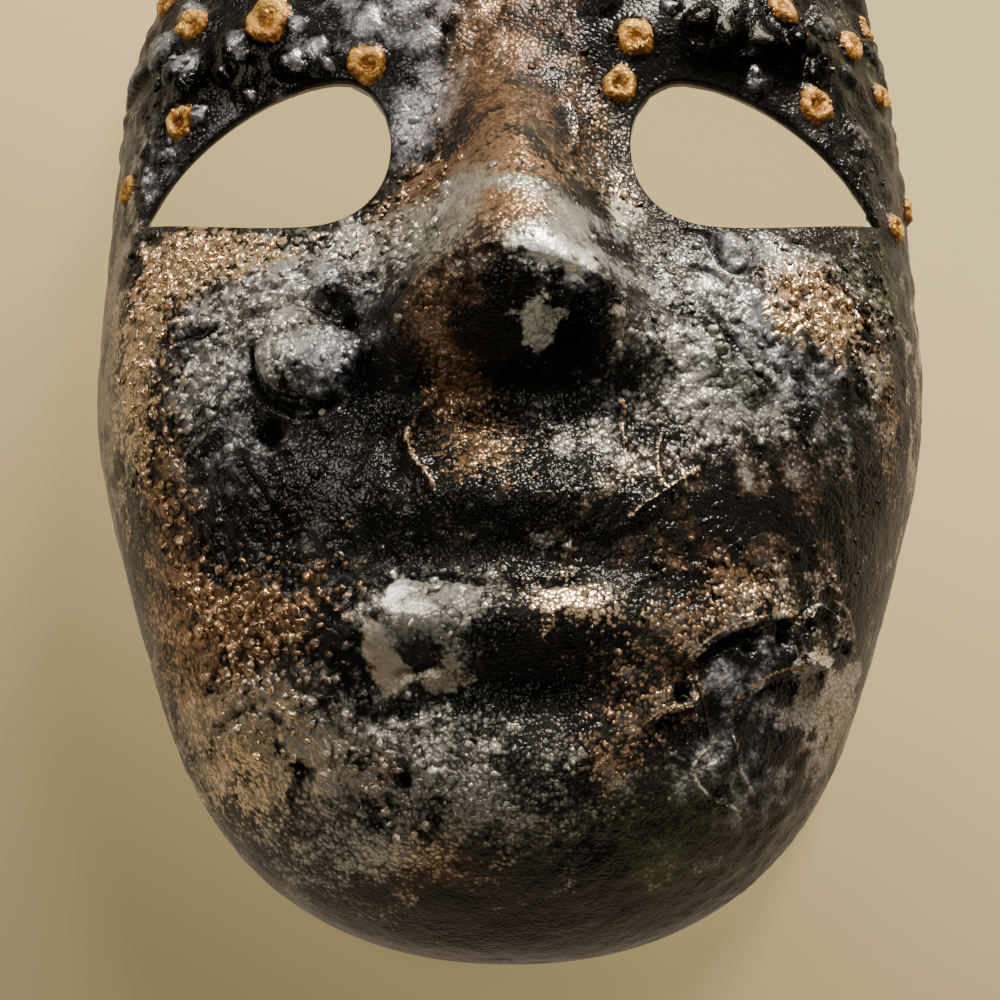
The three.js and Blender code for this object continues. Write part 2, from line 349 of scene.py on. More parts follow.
# Where paint of one kind is dabbed on: x, y, spread across, spread along and cover.
DABS = {
    "silver": (
        (7, -7, 7.5, 3.4, 1.0), (10, -2, 3, 5, 0.5), (-9, -2, 4, 5, 0.7), (-16, 0, 6, 9, 0.5),
        (-30, 3, 16, 8, 0.55), (-37, -15, 6, 6, 0.85), (-49, -9, 9, 8, 0.5), (-54, -26, 9, 10, 0.45),
        (-31, -29, 11, 5, 0.3), (30, -12, 14, 14, 0.58), (12, -4, 3, 9, 0.2), (-9, 9, 4, 4, 0.8),
        (-1, 5.2, 5.5, 1.6, 0.85), (8, 3.2, 4, 2.4, 0.75), (34, -32, 16, 5, 0.35), (52, -38, 12, 10, 0.12),
        (13, -37, 9, 9, 0.5), (4, -52, 3, 2, 0.6), (-14, -63, 10, 6, 0.75), (-14, -81, 10, 6, 0.6),
        (-7, -88, 9, 6, 0.57), (1, -96, 10, 7, 0.25), (-36, -88, 17, 12, 0.4), (-45, -74, 12, 6, 0.4),
        (8, -80, 8, 9, 0.25), (45, -58, 8, 4, 0.5), (37, -68, 9, 4, 0.35), (51, 5, 8, 6, 0.45),
        (68, -9, 7, 19, 0.25), (-28, -100, 11, 7, 0.45), (0, -106, 34, 7, 0.12), (30, 100, 26, 18, 0.3),
    ),
    # Painted highlight: pale silver where the light shines brightest on the nose, lips, chin and blister.
    "bright": (
        (6.4, -9.2, 5.4, 2.2, 1.0), (11, -9.4, 2.0, 2.2, 0.9), (-12, 3, 1.4, 5, 0.6),
        (-20, -60, 5, 3, 0.45), (-19, -80, 6, 3, 0.35), (-38, -14, 3, 3, 0.5),
    ),
    "lilac": (
        (32, -14, 17, 15, 0.4), (50, -8, 10, 14, 0.4), (-40, -6, 18, 12, 0.45), (-50, -24, 10, 12, 0.4),
        (16, -10, 4, 13, 0.35), (44, -72, 13, 9, 0.38), (40, -88, 14, 8, 0.3), (-17, 39, 5, 13, 0.8),
        (-71, 37, 5, 15, 0.35), (-22, 56, 9, 7, 0.4), (-36, 96, 30, 18, 0.3),
    ),
    "copper": (
        (-4, 42, 9, 17, 0.42), (-4, 10, 12, 12, 0.68), (-4, -37, 10, 8, 0.75), (-2, -1, 8, 5, 0.6),
        (18, -80, 6, 10, 0.6), (-16, 15, 7, 7, 0.4), (-12, -18, 6, 7, 0.6), (-11, -26, 5, 2, 0.7),
        (-57, 7, 9, 6, 0.4), (-67, -19, 5, 21, 0.35), (-40, -58, 16, 10, 0.56), (-58, -60, 11, 13, 0.58),
        (-46, -80, 15, 9, 0.5), (-60, -30, 6, 10, 0.4), (0, -106, 34, 7, 0.12), (-60, -44, 7, 8, 0.55),
        (57, -6, 9, 9, 0.6), (49, -3, 6, 7, 0.5), (-1, -1.5, 5, 3.4, 0.8), (71, -22, 4, 11, 0.5),
        (39, -57, 11, 5, 0.75), (34, -63, 6, 3, 0.8), (27, -70, 4, 6, 0.6), (28, -75, 4, 5, 0.65),
        (16, -80, 6, 8, 0.35), (16, 26, 4, 12, 0.5), (40, 46, 12, 3, 0.3), (-23, 7, 6, 5, 0.35),
        (-13, -104, 9, 7, 0.5), (-22, -88, 7, 6, 0.55), (-26, -48, 4, 2, 0.5), (-6, 82, 14, 26, 0.5),
        (60, 100, 14, 16, 0.35),
    ),
    "gold": (
        (-4, -37, 10, 7, 0.35), (11, -62.5, 9, 4.5, 0.9), (24, -41, 7, 3, 0.6), (57, -8, 8, 7, 0.65),
        (51, -6, 6, 6, 0.45), (-56, -58, 14, 10, 0.35), (-50, -80, 12, 9, 0.5), (-40, -88, 12, 7, 0.3),
        (-59, 6, 10, 7, 0.8), (-69, -12, 6, 20, 0.7), (-44, 5, 10, 3, 0.4), (42, -58, 9, 3, 0.6),
        (20, 19, 4, 9, 0.5), (-14, -100, 5, 3, 0.3), (50, -61, 6, 2, 0.4),
    ),
    "brown": (
        (-2, -3, 10, 8, 0.8), (-2, 50, 10, 30, 0.85), (-12, -16, 6, 7, 0.8), (-5, -21, 6, 6, 0.7),
        (-2, -47, 12, 6, 0.4), (-13, -104, 10, 8, 0.75), (35, -53, 11, 5, 0.5), (-42, -30, 3, 3, 0.9),
        (44, -36, 17, 9, 0.6), (20, -36, 8, 8, 0.4), (51, -78, 12, 11, 0.5), (-5, 60, 14, 30, 0.4),
    ),
    "green": (
        (33, -94, 12, 8, 0.65), (36, -22, 14, 9, 0.6), (24, 6, 6, 6, 0.4), (26, -101, 8, 5, 0.6),
        (40, -27, 4, 2, 0.4), (70, 7, 8, 10, 0.45), (72, 50, 10, 11, 0.4), (14, 13, 6, 6, 0.3),
    ),
    "pale": (
        (2.7, -17.4, 3.4, 1.4, 1.0), (4.4, -19.4, 2.0, 1.2, 0.9), (21, 13, 3, 2, 0.4),
    ),
    "beige": (
        (-23.5, -67, 2, 4, 0.8), (-21, -72.5, 2.4, 3.4, 0.8), (-14, -73.5, 6, 1.8, 0.7),
        (-52, -80, 10, 6, 0.72), (17, -12, 2.6, 12, 0.45), (-40, -88, 9, 5, 0.62), (-47, -74, 5, 3, 0.5),
        (-30, -84, 7, 4, 0.45), (-79, -5, 7, 45, 0.75), (80, -20, 5, 40, 0.5), (59, -70, 7, 10, 0.5),
        (45, -74, 11, 8, 0.28), (64, -84, 7, 12, 0.3), (34, -18, 16, 13, 0.3), (60, -74, 7, 9, 0.2),
        (-60, -72, 6, 9, 0.5),
    ),
    # Painted shade: the coats give way to the black ground, which gives back little light, under the nose,
    # the lips and the chin, in the brow hollows and on parts of the cheeks and folds.
    "dark": (
        (46, 51, 28, 11, 0.97), (-50, 47, 20, 9, 0.95), (-66, 58, 12, 16, 0.5), (0, -47, 26, 6, 0.7),
        (5, -76, 15, 6, 0.75), (-40, -43, 17, 9, 0.75), (-27, -19, 4, 8, 0.7), (10, -19, 9, 9, 0.85),
        (-3, -16, 6, 6, 0.5), (0, -33, 5, 3, 0.3), (0, -113, 44, 8, 0.8), (43, -68, 9, 5, 0.5),
        (50, -84, 14, 12, 0.3), (46, -40, 20, 10, 0.4), (-24, -24, 8, 6, 0.5), (24, -58, 9, 5, 0.4),
    ),
    "crumpled": (
        (-17, 41, 6, 15, 1.0), (-34, -2, 20, 13, 0.8), (-28, -28, 13, 8, 0.7), (36, -14, 20, 18, 1.0),
        (60, -4, 12, 16, 0.7), (13, -38, 12, 9, 0.6), (-14, -38, 9, 10, 0.5), (-45, -74, 16, 12, 0.7),
        (34, -90, 22, 14, 0.5), (0, 92, 70, 30, 0.5),
    ),
    "beads": (
        (-48, -62, 22, 14, 0.95), (-57, 7, 14, 9, 0.9), (-34, 6, 18, 6, 0.8), (-20, 16, 7, 12, 0.6),
        (-65, -19, 8, 26, 0.7), (32, -12, 16, 14, 0.25), (54, -6, 12, 9, 0.85), (-44, -10, 12, 10, 0.4),
        (-30, -92, 20, 12, 0.35), (44, 50, 22, 8, 0.25), (-70, 34, 8, 22, 0.5), (36, -54, 12, 5, 0.25),
    ),
    "lumpy": (
        (-55, 56, 26, 18, 0.9), (62, 58, 26, 18, 0.7), (0, 90, 70, 34, 0.7), (-30, -12, 20, 18, 0.35),
        (74, 20, 10, 22, 0.4),
    ),
    "smooth": (
        (12, -3, 3.5, 12, 0.7), (6, -8, 7, 3.4, 0.75), (-3, 26, 12, 30, 0.55), (39, 3, 8, 7, 0.5),
        (44, -40, 16, 8, 0.5), (-30, -46, 16, 7, 0.4), (3, -18, 5, 6, 0.5), (-35.7, -17.5, 7, 7, 0.5),
        (-20, -72, 9, 6, 0.8), (-18, -62, 8, 4.5, 0.75), (-46, -84, 16, 6, 0.5), (-42, -42, 18, 11, 0.3),
        (8, -66, 20, 8, 0.3), (42, -72, 13, 9, 0.3), (-50, 48, 22, 10, 0.9), (46, 51, 28, 11, 0.9),
        (0, 96, 70, 26, 0.4),
    ),
}
DAB_REACH = 1.35

# The thin drop of glue beside the nose, which has no grit: x, y and spread.
DROP = (39, 3, 11)

# Few loose grains lie on the nose: its middle level, and the spread across and along.
NOSE_FREE = (12, 13, 24)

# Lumps left of this have caught the bluish silver, and the others copper.
LILAC_SIDE = 8

# Coats of paint from the ground up: metallic share, roughness, softness of the edge and share of the grain in
# it. The painted shade leaves some of them as they are, and the last, a pale silver, is a painted highlight.
COATS = {
    "brown": (0.5, 0.42, 0.25, 0.2),
    "green": (0.1, 0.5, 0.3, 0.2),
    "beige": (0.2, 0.42, 0.12, 0.2),
    "lilac": (0.6, 0.4, 0.35, 0.15),
    "copper": (0.9, 0.31, 0.18, 0.62),
    "silver": (0.75, 0.35, 0.24, 0.45),
    "gold": (0.95, 0.27, 0.15, 0.64),
    "pale": (0.0, 0.5, 0.06, 0.12),
    "bright": (0.8, 0.42, 0.12, 0.25),
}
NEVER_DARK = ("pale", "beige", "bright")

# Flecks that lie everywhere.
SPRINKLE = {"silver": 0.09, "copper": 0.08}

# The ochre dots: their metallic share and roughness.
DOT_METAL = 0.25
DOT_ROUGHNESS = 0.36

# Across a grain where the grit is fine and where it is coarse, and how much deeper the coarse grit is.
FINE_GRAIN = 0.0008
COARSE_GRAIN = 0.0017
COARSE_DEPTH = 1.5

# The crumpled film of paint: across a pleat, and its height beside that of a grain. Across a patch of the
# broad mottle, the scale of the noise that bends the grit, and how steep a grain is.
PLEAT_SIZE = 0.0045
PLEAT_HEIGHT = 2.0
MOTTLE_SIZE = 0.007
GRIT_WARP = 600.0
DOME_STEEPNESS = 1.7

# How deep the grit is on the crust and on loose grains, its share on a smooth film, and the paint's gloss.
CRUST_GRIT_DEPTH = 0.00021
GRAIN_GRIT_DEPTH = 0.00014
SMOOTH_GRIT = 0.14
PAINT_SPECULAR = 0.22

# Bare pulp: how deep its fibres are, and how much of each channel a stain leaves.
FIBRE_DEPTH = 0.0004
PULP_STAIN = (0.72, 0.7, 0.66)

# Edges that turn by more than this are sharp.
SHARP_DEGREES = 60

# What sets loose grains off from loose beads, and how flat both are.
LOOSE_SHAPE = ("Smallest", "Largest", "Wobble", "Sides", "Levels", "Where")
LOOSE = {"grain": (0.45, 1.35, 0.0006, 5, 3, "grit"), "bead": (0.5, 1.8, 0.0022, 6, 4, "bead_cover")}
GRAIN_FLATNESS = 0.6

# The stage: what the lights and the camera look at, in metres, and the lens.
LIGHT_AIM = (0, 0, 0.04)
LIGHT_COLOUR = (1.0, 0.92, 0.8)
CAMERA_AIM = (-0.002, -0.0432, 0.040)
SENSOR_WIDTH = 36.0
LENS = 58.97

# The floor's own light, and the shares of its colour where it is matte, cloudy and dim.
FLOOR_GLOW = 1.32
FLOOR_MATTE = (0.12, 0.12, 0.12)
FLOOR_CLOUDY = (0.1, 0.1, 0.1)
FLOOR_DIM = (0.2, 0.2, 0.21)


def size_of(name, description, default):
    return FloatProperty(name=name, description=description, default=default, unit="LENGTH")


def colour_of(name, description, *default):
    return FloatVectorProperty(name=name, description=description, default=default, subtype="COLOR")


def number_of(name, description, default):
    kind = IntProperty if isinstance(default, int) else FloatProperty
    return kind(name=name, description=description, default=default)


class ShellSettings(PropertyGroup):
    """Sizes of the moulded shell."""

    width: size_of("Width", "Across the widest level", CAD_BOX[1].x - CAD_BOX[0].x)
    forehead_length: size_of("Forehead", "From the widest level to the upper edge", 0.130)
    chin_length: size_of("Chin", "From the widest level to the lower edge", 0.116)
    dome_height: size_of("Dome height", "Rise of the dome without its features", 0.062)
    wall: size_of("Wall", "Thickness of the pulp", 0.0026)
    crust_room: size_of("Room for the crust", "How far the bare shell stands inside", 0.0006)
    edge_radius: size_of("Edge radius", "Of the cut edges", 0.0008)
    outer_rings: number_of("Outer rings", "Rings of faces outside", 128)
    inner_rings: number_of("Inner rings", "Rings of faces inside", 44)


class CrustSettings(PropertyGroup):
    """Sizes of the crust of filler and grit."""

    wave_size: size_of("Wave size", "Across a wave of filler", 0.010)
    wave_height: size_of("Wave height", "Rise of a wave", 0.0014)
    fold_size: size_of("Fold size", "Across a crumpled fold", 0.0065)
    fold_height: size_of("Fold height", "Rise of a fold", 0.0013)
    lump_size: size_of("Lump size", "Across a lump", 0.0075)
    lump_height: size_of("Lump height", "Rise of a lump", 0.0016)
    bead_size: size_of("Bead size", "Across a bead of paint", 0.0024)
    bead_height: size_of("Bead height", "Rise of a bead", 0.0010)
    grain_radius: size_of("Grain radius", "Of a loose grain", 0.00042)
    grain_gap: size_of("Grain gap", "Least way between grains", 0.0011)
    grain_density: number_of("Grain density", "Grains on a square metre", 400000.0)
    bead_radius: size_of("Bead radius", "Of a loose bead", 0.00075)
    bead_gap: size_of("Bead gap", "Least way between beads", 0.0012)
    bead_density: number_of("Bead density", "Beads on a square metre", 900000.0)
    seed: number_of("Seed", "Which scatter of grains is made", 5)


class PaintSettings(PropertyGroup):
    """Colours of the paints."""

    black: colour_of("Black", "The ground", 0.006, 0.0055, 0.0045)
    # Dark wax in random patches, which gives way to the bare black in the painted shade.
    soot: colour_of("Soot", "Dark wax on it", 0.045, 0.042, 0.036)
    brown: colour_of("Brown", "Bronze wash", 0.13, 0.072, 0.038)
    copper: colour_of("Copper", "Copper paint", 0.42, 0.25, 0.13)
    gold: colour_of("Gold", "Pale gold paint", 0.88, 0.64, 0.39)
    silver: colour_of("Silver", "Silver paint", 0.45, 0.447, 0.39)
    lilac: colour_of("Lilac", "Bluish silver paint", 0.4, 0.4, 0.44)
    # Painted highlight: pale silver for the brightest spots of light.
    bright: colour_of("Bright", "Thickly rubbed silver", 0.86, 0.85, 0.8)
    green: colour_of("Green", "Olive tint", 0.09, 0.11, 0.045)
    pale: colour_of("Pale", "Chalky paint", 0.46, 0.45, 0.38)
    beige: colour_of("Beige", "Old varnish", 0.36, 0.3, 0.205)
    # The dots' ochre is painted highlight on the ring and forehead side, their amber painted shade elsewhere.
    ochre: colour_of("Ochre", "The dots", 0.6, 0.32, 0.075)
    amber: colour_of("Amber", "In the dots", 0.2, 0.075, 0.01)
    pulp: colour_of("Pulp", "Bare pulp", 0.5, 0.46, 0.37)


class StageSettings(PropertyGroup):
    """The floor, the lights and the camera."""

    floor: colour_of("Floor", "Its colour", 0.72, 0.54, 0.235)
    bounce: colour_of("Bounce", "The light that the floor gives back", 0.3, 0.25, 0.18)
    tilt: FloatProperty(
        name="Camera tilt",
        description="From straight above, to the chin",
        default=math.radians(20),
        unit="ROTATION",
    )
    distance: size_of("Distance", "Camera to its target", 0.3)
    key_power: number_of("Key light", "From the forehead side, in watts", 40.0)
    side_power: number_of("Side light", "From the left, in watts", 4.0)
    front_power: number_of("Front light", "From near the camera, in watts", 2.0)


def hump(distance, spread, square=2.0):
    """A rounded rise of height 1."""
    return np.exp(-(np.abs(distance / spread) ** square))


def smooth(value, low, high):
    """Climbs from 0 at low to 1 at high."""
    share = np.clip((value - low) / (high - low), 0, 1)
    return share * share * (3 - 2 * share)


def travelled(steps):
    """How far along a path each of its places is."""
    return np.concatenate([[0], np.cumsum(steps)])


class Form:
    """The bare shell's surface, as the solid shell in model.glb has it, in millimetres."""

    def __init__(self, shell):
        self.half = shell.width / MM / 2
        self.forehead = shell.forehead_length / MM
        self.chin = shell.chin_length / MM
        self.height = shell.dome_height / MM
        self.wall = shell.wall / MM
        self.shift = (self.chin - self.forehead) / 2

    def reach(self, x, y):
        """0 in the middle of the mask and 1 at its rim."""
        down = np.clip(-y / self.chin, 0, 1)
        half = self.half * (1 - JAW_TAPER * np.sin(np.pi * down) ** 2)
        square = np.where(y > 0, FOREHEAD_SQUARENESS, CHIN_SQUARENESS)
        length = np.where(y > 0, self.forehead, self.chin)
        return (np.abs(x / half) ** square + np.abs(y / length) ** square) ** (1 / square)

    def nose(self, x, y):
        ridge = ROOT_RISE + RIDGE_SLOPE * (NOSE_ROOT - y)
        underside = UNDERSIDE_SLOPE * (y - NOSE_BASE + BASE_ROUNDING / 2)
        above = np.maximum((ridge + underside - np.hypot(ridge - underside, TIP_ROUNDING)) / 2, 0)
        profile = above**2 / np.hypot(above, BASE_ROUNDING)
        fade = 1 - smooth(y, EYE - 4, NOSE_FADE)
        spread = ROOT_SPREAD + (BASE_SPREAD - ROOT_SPREAD) * smooth(-y, -EYE, -NOSE_BASE)
        return profile * fade * hump(x, spread, NOSE_SQUARENESS)

    def rise(self, x, y):
        """Height of the surface above the plane of the rim."""
        dome = np.maximum(0, 1 - self.reach(x, y) ** DOME_FLATNESS) ** (1 / DOME_SIDE)
        face = self.nose(x, y)
        for at_x, at_y, across, along, rise, square in SWELLINGS.values():
            face = face + rise * hump(np.abs(x) - at_x, across, square) * hump(y - at_y, along)
        return self.height * dome + face * smooth(dome, 0, FULL_RISE)

    def rim(self, count):
        """Places on the rim, evenly spaced, going round from +X."""
        turn = np.linspace(0, 2 * np.pi, count + 1)
        near = np.zeros_like(turn)
        far = np.full_like(turn, self.forehead + self.chin)
        for _ in range(RIM_HALVINGS):
            middle = (near + far) / 2
            x = np.cos(turn) * middle + WEB_MIDDLE[0]
            y = np.sin(turn) * middle + WEB_MIDDLE[1]
            inside = self.reach(x, y) < 1
            near = np.where(inside, middle, near)
            far = np.where(inside, far, middle)
        length = travelled(np.hypot(np.diff(x), np.diff(y)))
        return x, y, length / length[-1]

    def slope_shares(self, rings):
        """How far out each ring lies, so that rings are evenly spaced along the slope."""
        angle = np.linspace(0, np.pi / 2, SLOPE_STEPS)
        out = np.sin(angle) ** (2 / DOME_FLATNESS)
        up = np.cos(angle) ** (2 / DOME_SIDE)
        length = travelled(np.hypot(np.diff(out) * self.half, np.diff(up) * self.height))
        wanted = (np.arange(rings + 1) / rings) ** RING_CROWDING
        return np.interp(wanted, length / length[-1], out)

    def web(self, rings):
        """Places and triangles of a web of rings, where ring k has SECTORS * k places."""
        rim_x, rim_y, rim_share = self.rim(RIM_STEPS)
        shares = self.slope_shares(rings)
        places = [np.array([WEB_MIDDLE])]
        triangles = []
        inner_start = 0
        start = 1
        for ring in range(1, rings + 1):
            count = SECTORS * ring
            along = np.arange(count) / count
            x = np.interp(along, rim_share, rim_x) - WEB_MIDDLE[0]
            y = np.interp(along, rim_share, rim_y) - WEB_MIDDLE[1]
            places.append(np.stack([x, y], 1) * shares[ring] + WEB_MIDDLE)
            inner_count = max(1, SECTORS * (ring - 1))
            sector, step = np.divmod(np.arange(count), ring)
            here = start + np.arange(count)
            beside = start + (np.arange(count) + 1) % count
            within = inner_start + (sector * (ring - 1) + step) % inner_count
            triangles.append(np.stack([here, beside, within], 1))
            bridging = step < ring - 1
            next_within = inner_start + (sector * (ring - 1) + step + 1) % inner_count
            triangles.append(np.stack([beside, next_within, within], 1)[bridging])
            inner_start = start
            start += count
        return np.concatenate(places), np.concatenate(triangles)


def refined(places, triangles, close):
    """Splits in four the triangles whose corners are all marked, and in two those with two marked corners."""
    edges = np.sort(np.concatenate([triangles[:, [0, 1]], triangles[:, [1, 2]], triangles[:, [2, 0]]]), 1)
    edges, index = np.unique(edges, axis=0, return_inverse=True)
    split = close[edges].all(1)
    middle = np.full(len(edges), -1)
    middle[split] = len(places) + np.arange(split.sum())
    middle = middle[index.reshape(3, -1).T]
    places = np.concatenate([places, places[edges[split]].mean(1)])
    whole = (middle < 0).all(1)
    four = (middle >= 0).all(1)
    a, b, c = triangles[four].T
    ab, bc, ca = middle[four].T
    parts = [triangles[whole]]
    parts += [np.stack(corners, 1) for corners in ((a, ab, ca), (ab, b, bc), (ca, bc, c), (ab, bc, ca))]
    for turn in range(3):
        one = ~four & (middle[:, turn] >= 0)
        a, b, c = np.roll(triangles[one], -turn, axis=1).T
        half = middle[one, turn]
        parts += [np.stack([a, half, c], 1), np.stack([half, b, c], 1)]
    return places, np.concatenate(parts)


def vertex_normals(points, triangles):
    """Outward normals of a mesh, weighted by area."""
    a, b, c = (points[triangles[:, corner]] for corner in range(3))
    face = np.cross(b - a, c - a)
    normals = np.zeros_like(points)
    for corner in range(3):
        np.add.at(normals, triangles[:, corner], face)
    length = np.linalg.norm(normals, axis=1, keepdims=True)
    return normals / np.maximum(length, 1e-12)


def eye_outline(side):
    """The eye hole's outline as places in order."""
    share = np.linspace(0, 1, EYE_CURVE_STEPS, endpoint=False)[:, None]
    start = np.array(EYE_CORNER, float)
    parts = []
    for first, second, end in EYE_CURVES:
        first, second, end = (np.array(place, float) for place in (first, second, end))
        parts.append(
            (1 - share) ** 3 * start
            + 3 * (1 - share) ** 2 * share * first
            + 3 * (1 - share) * share**2 * second
            + share**3 * end
        )
        start = end
    return np.concatenate(parts) * (side, 1)


def outline_distance(places, outline):
    """Distance of each place to an outline, below zero inside, and the nearest place on it."""
    start = outline
    step = np.roll(outline, -1, axis=0) - start
    offset = places[:, None, :] - start[None]
    share = np.clip((offset * step).sum(2) / (step**2).sum(1), 0, 1)
    nearest = start + share[..., None] * step
    distance = np.linalg.norm(places[:, None, :] - nearest, axis=2)
    best = distance.argmin(1)
    rows = np.arange(len(places))
    end = start + step
    crosses = (start[:, 1] > places[:, 1:2]) != (end[:, 1] > places[:, 1:2])
    height = np.where(step[:, 1] == 0, 1e-9, step[:, 1])
    crossing = start[:, 0] + (places[:, 1:2] - start[:, 1]) * step[:, 0] / height
    inside = (crosses & (places[:, :1] < crossing)).sum(1) % 2 == 1
    return np.where(inside, -1, 1) * distance[rows, best], nearest[rows, best]


def trim(points, triangles, level):
    """Cuts a mesh along level zero and keeps what is above it: points, triangles and the loops of the cut."""
    points = [tuple(point) for point in points]
    level = list(level)
    lowest = np.array(level)[triangles].min(1)
    kept = [tuple(face) for face in triangles[lowest >= 0]]
    cuts = {}

    def cut(a, b):
        key = (min(a, b), max(a, b))
        if key not in cuts:
            share = level[a] / (level[a] - level[b])
            cuts[key] = len(points)
            points.append(tuple(p + share * (q - p) for p, q in zip(points[a], points[b])))
            level.append(0.0)
        return cuts[key]

    crossing = triangles[(lowest < 0) & (np.array(level)[triangles].max(1) > 0)]
    for face in crossing.tolist():
        corners = []
        for here, after in zip(face, face[1:] + face[:1]):
            if level[here] >= 0:
                corners.append(here)
            if level[here] * level[after] < 0:
                corners.append(cut(here, after))
        kept.extend((corners[0], b, c) for b, c in zip(corners[1:], corners[2:]))
    edges = {(a, b) for face in kept for a, b in zip(face, face[1:] + face[:1])}
    on_cut = {a: b for a, b in edges if level[a] == 0 and level[b] == 0 and (b, a) not in edges}
    loops = []
    while on_cut:
        start, here = on_cut.popitem()
        loop = [start, here]
        while loop[-1] in on_cut:
            loop.append(on_cut.pop(loop[-1]))
        loops.append(loop[:-1])
    return np.array(points), np.array(kept), loops


def snap(points, outline, clearance, reach):
    """Draws the places that almost lie on an outline onto it, and gives each place's level above it."""
    level = np.full(len(points), 1e3)
    low, high = outline.min(0) - 6, outline.max(0) + 6
    near = np.all((points[:, :2] > low) & (points[:, :2] < high), axis=1)
    rows = np.nonzero(near)[0]
    distance, nearest = outline_distance(points[rows, :2], outline)
    away = (points[rows, :2] - nearest) / np.where(distance == 0, 1e-9, distance)[:, None]
    distance = distance - clearance
    close = np.abs(distance) < reach
    points[rows[close], :2] = nearest[close] + away[close] * clearance
    distance[close] = 0
    level[rows] = distance
    return level


class MeshBuilder:
    """Gathers points and triangles of one closed mesh."""

    def __init__(self):
        self.points = np.zeros((0, 3))
        self.triangles = []
        self.kinds = []

    def join(self, triangles, kind):
        self.triangles.append(np.asarray(triangles))
        self.kinds.append(np.full(len(triangles), kind))

    def add(self, points, triangles, kind):
        shift = len(self.points)
        self.points = np.concatenate([self.points, points])
        self.join(triangles + shift, kind)
        return shift

    def strip(self, loop, points, kind):
        """Joins a loop to a new one of as many points, and returns the new one."""
        new = np.arange(len(loop)) + len(self.points)
        self.points = np.concatenate([self.points, points])
        after, new_after = np.roll(loop, -1), np.roll(new, -1)
        pairs = [(after, loop, new), (after, new, new_after)]
        self.join(np.concatenate([np.stack(corners, 1) for corners in pairs]), kind)
        return new

    def zip(self, first, second, middle, kind):
        """Joins two loops that go round the same way, and may differ in their number of points."""

        def turns(loop):
            offset = self.points[loop, :2] - middle
            angle = np.unwrap(np.arctan2(offset[:, 1], offset[:, 0]))
            return angle if angle[-1] > angle[0] else -angle

        first, second = list(first), list(second)
        first_turns = turns(first)
        second_turns = np.mod(turns(second) - first_turns[0] + 1e-9, 2 * np.pi)
        first_turns = np.append(first_turns - first_turns[0], 2 * np.pi)
        begin = int(second_turns.argmin())
        second = second[begin:] + second[:begin]
        second_turns = np.roll(second_turns, -begin)
        second_turns = np.append(second_turns, 2 * np.pi + second_turns[0])
        faces = []
        a, b = 0, 0
        while a < len(first) or b < len(second):
            if a < len(first) and (b >= len(second) or first_turns[a + 1] <= second_turns[b + 1]):
                faces.append((first[(a + 1) % len(first)], first[a], second[b % len(second)]))
                a += 1
            else:
                faces.append((first[a % len(first)], second[b], second[(b + 1) % len(second)]))
                b += 1
        self.join(faces, kind)


def smooth_path(places, steps=8):
    """A rounded path through given places."""
    places = np.array(places, float)
    ends = np.concatenate([[2 * places[0] - places[1]], places, [2 * places[-1] - places[-2]]])
    share = np.linspace(0, 1, steps, endpoint=False)[:, None]
    parts = []
    for a, b, c, d in zip(ends, ends[1:], ends[2:], ends[3:]):
        parts.append(
            b + 0.5 * share * (c - a + share * (2 * a - 5 * b + 4 * c - d + share * (3 * (b - c) + d - a)))
        )
    parts.append(places[-1:])
    return np.concatenate(parts)


def path_distance(x, y, places):
    """Distance of each place to a path, above zero on its left, and how far along it the nearest place is."""
    path = smooth_path(places)
    step = np.diff(path, axis=0)
    length = np.linalg.norm(step, axis=1)
    before = travelled(length)
    best = np.full(x.shape, 1e9)
    along = np.zeros(x.shape)
    for start, (dx, dy), size, begun in zip(path, step, length, before):
        off_x, off_y = x - start[0], y - start[1]
        share = np.clip((off_x * dx + off_y * dy) / size**2, 0, 1)
        distance = np.hypot(off_x - share * dx, off_y - share * dy)
        left = np.where(dx * off_y - dy * off_x > 0, 1, -1)
        closer = distance < np.abs(best)
        best = np.where(closer, left * distance, best)
        along = np.where(closer, (begun + share * size) / length.sum(), along)
    return best, along


def beside(stroke, x, y):
    """Which places lie near a stroke, how far they are from its path and how far along it."""
    near = np.hypot(x - stroke.path[0][0], y - stroke.path[0][1]) < STROKE_REACH
    return near, *path_distance(x[near], y[near], stroke.path)


def thinned(along):
    """Takes a stroke back to nothing at its ends."""
    return smooth(along, 0, 0.15) * (1 - smooth(along, 0.85, 1))


def stroke_relief(stroke, x, y):
    """Relief of a crease, a thread or a torn edge."""
    middle_x, middle_y = np.mean(stroke.path, axis=0)
    near = (np.abs(x - middle_x) < STROKE_LENGTH) & (np.abs(y - middle_y) < STROKE_LENGTH)
    relief = np.zeros(x.shape)
    distance, along = path_distance(x[near], y[near], stroke.path)
    spread = stroke.spread
    if stroke.kind == "ridge":
        shape = hump(distance, spread)
    elif stroke.kind == "groove":
        shape = 0.35 * hump(np.abs(distance) - 2 * spread, spread) - hump(distance, spread)
    elif stroke.kind == "ledge":
        shape = -smooth(-distance, -spread, spread) * hump(np.maximum(-distance, 0), 7)
    else:
        above = smooth(distance, -spread, spread) * hump(np.maximum(distance, 0), 6)
        shape = above - 0.3 * hump(distance + 2.2 * spread, 1.6 * spread)
    relief[near] = STROKE_DEPTH * stroke.rise * shape * thinned(along)
    return relief


def dab_cover(x, y, kind):
    """How thickly one kind of paint or grit is dabbed on, from 0 to 1."""
    left = np.ones(x.shape)
    for at_x, at_y, across, along, cover in DABS[kind]:
        out = np.hypot((x - at_x) / across, (y - at_y) / along) / DAB_REACH
        left = left * (1 - cover * hump(out, 1))
    return 1 - left


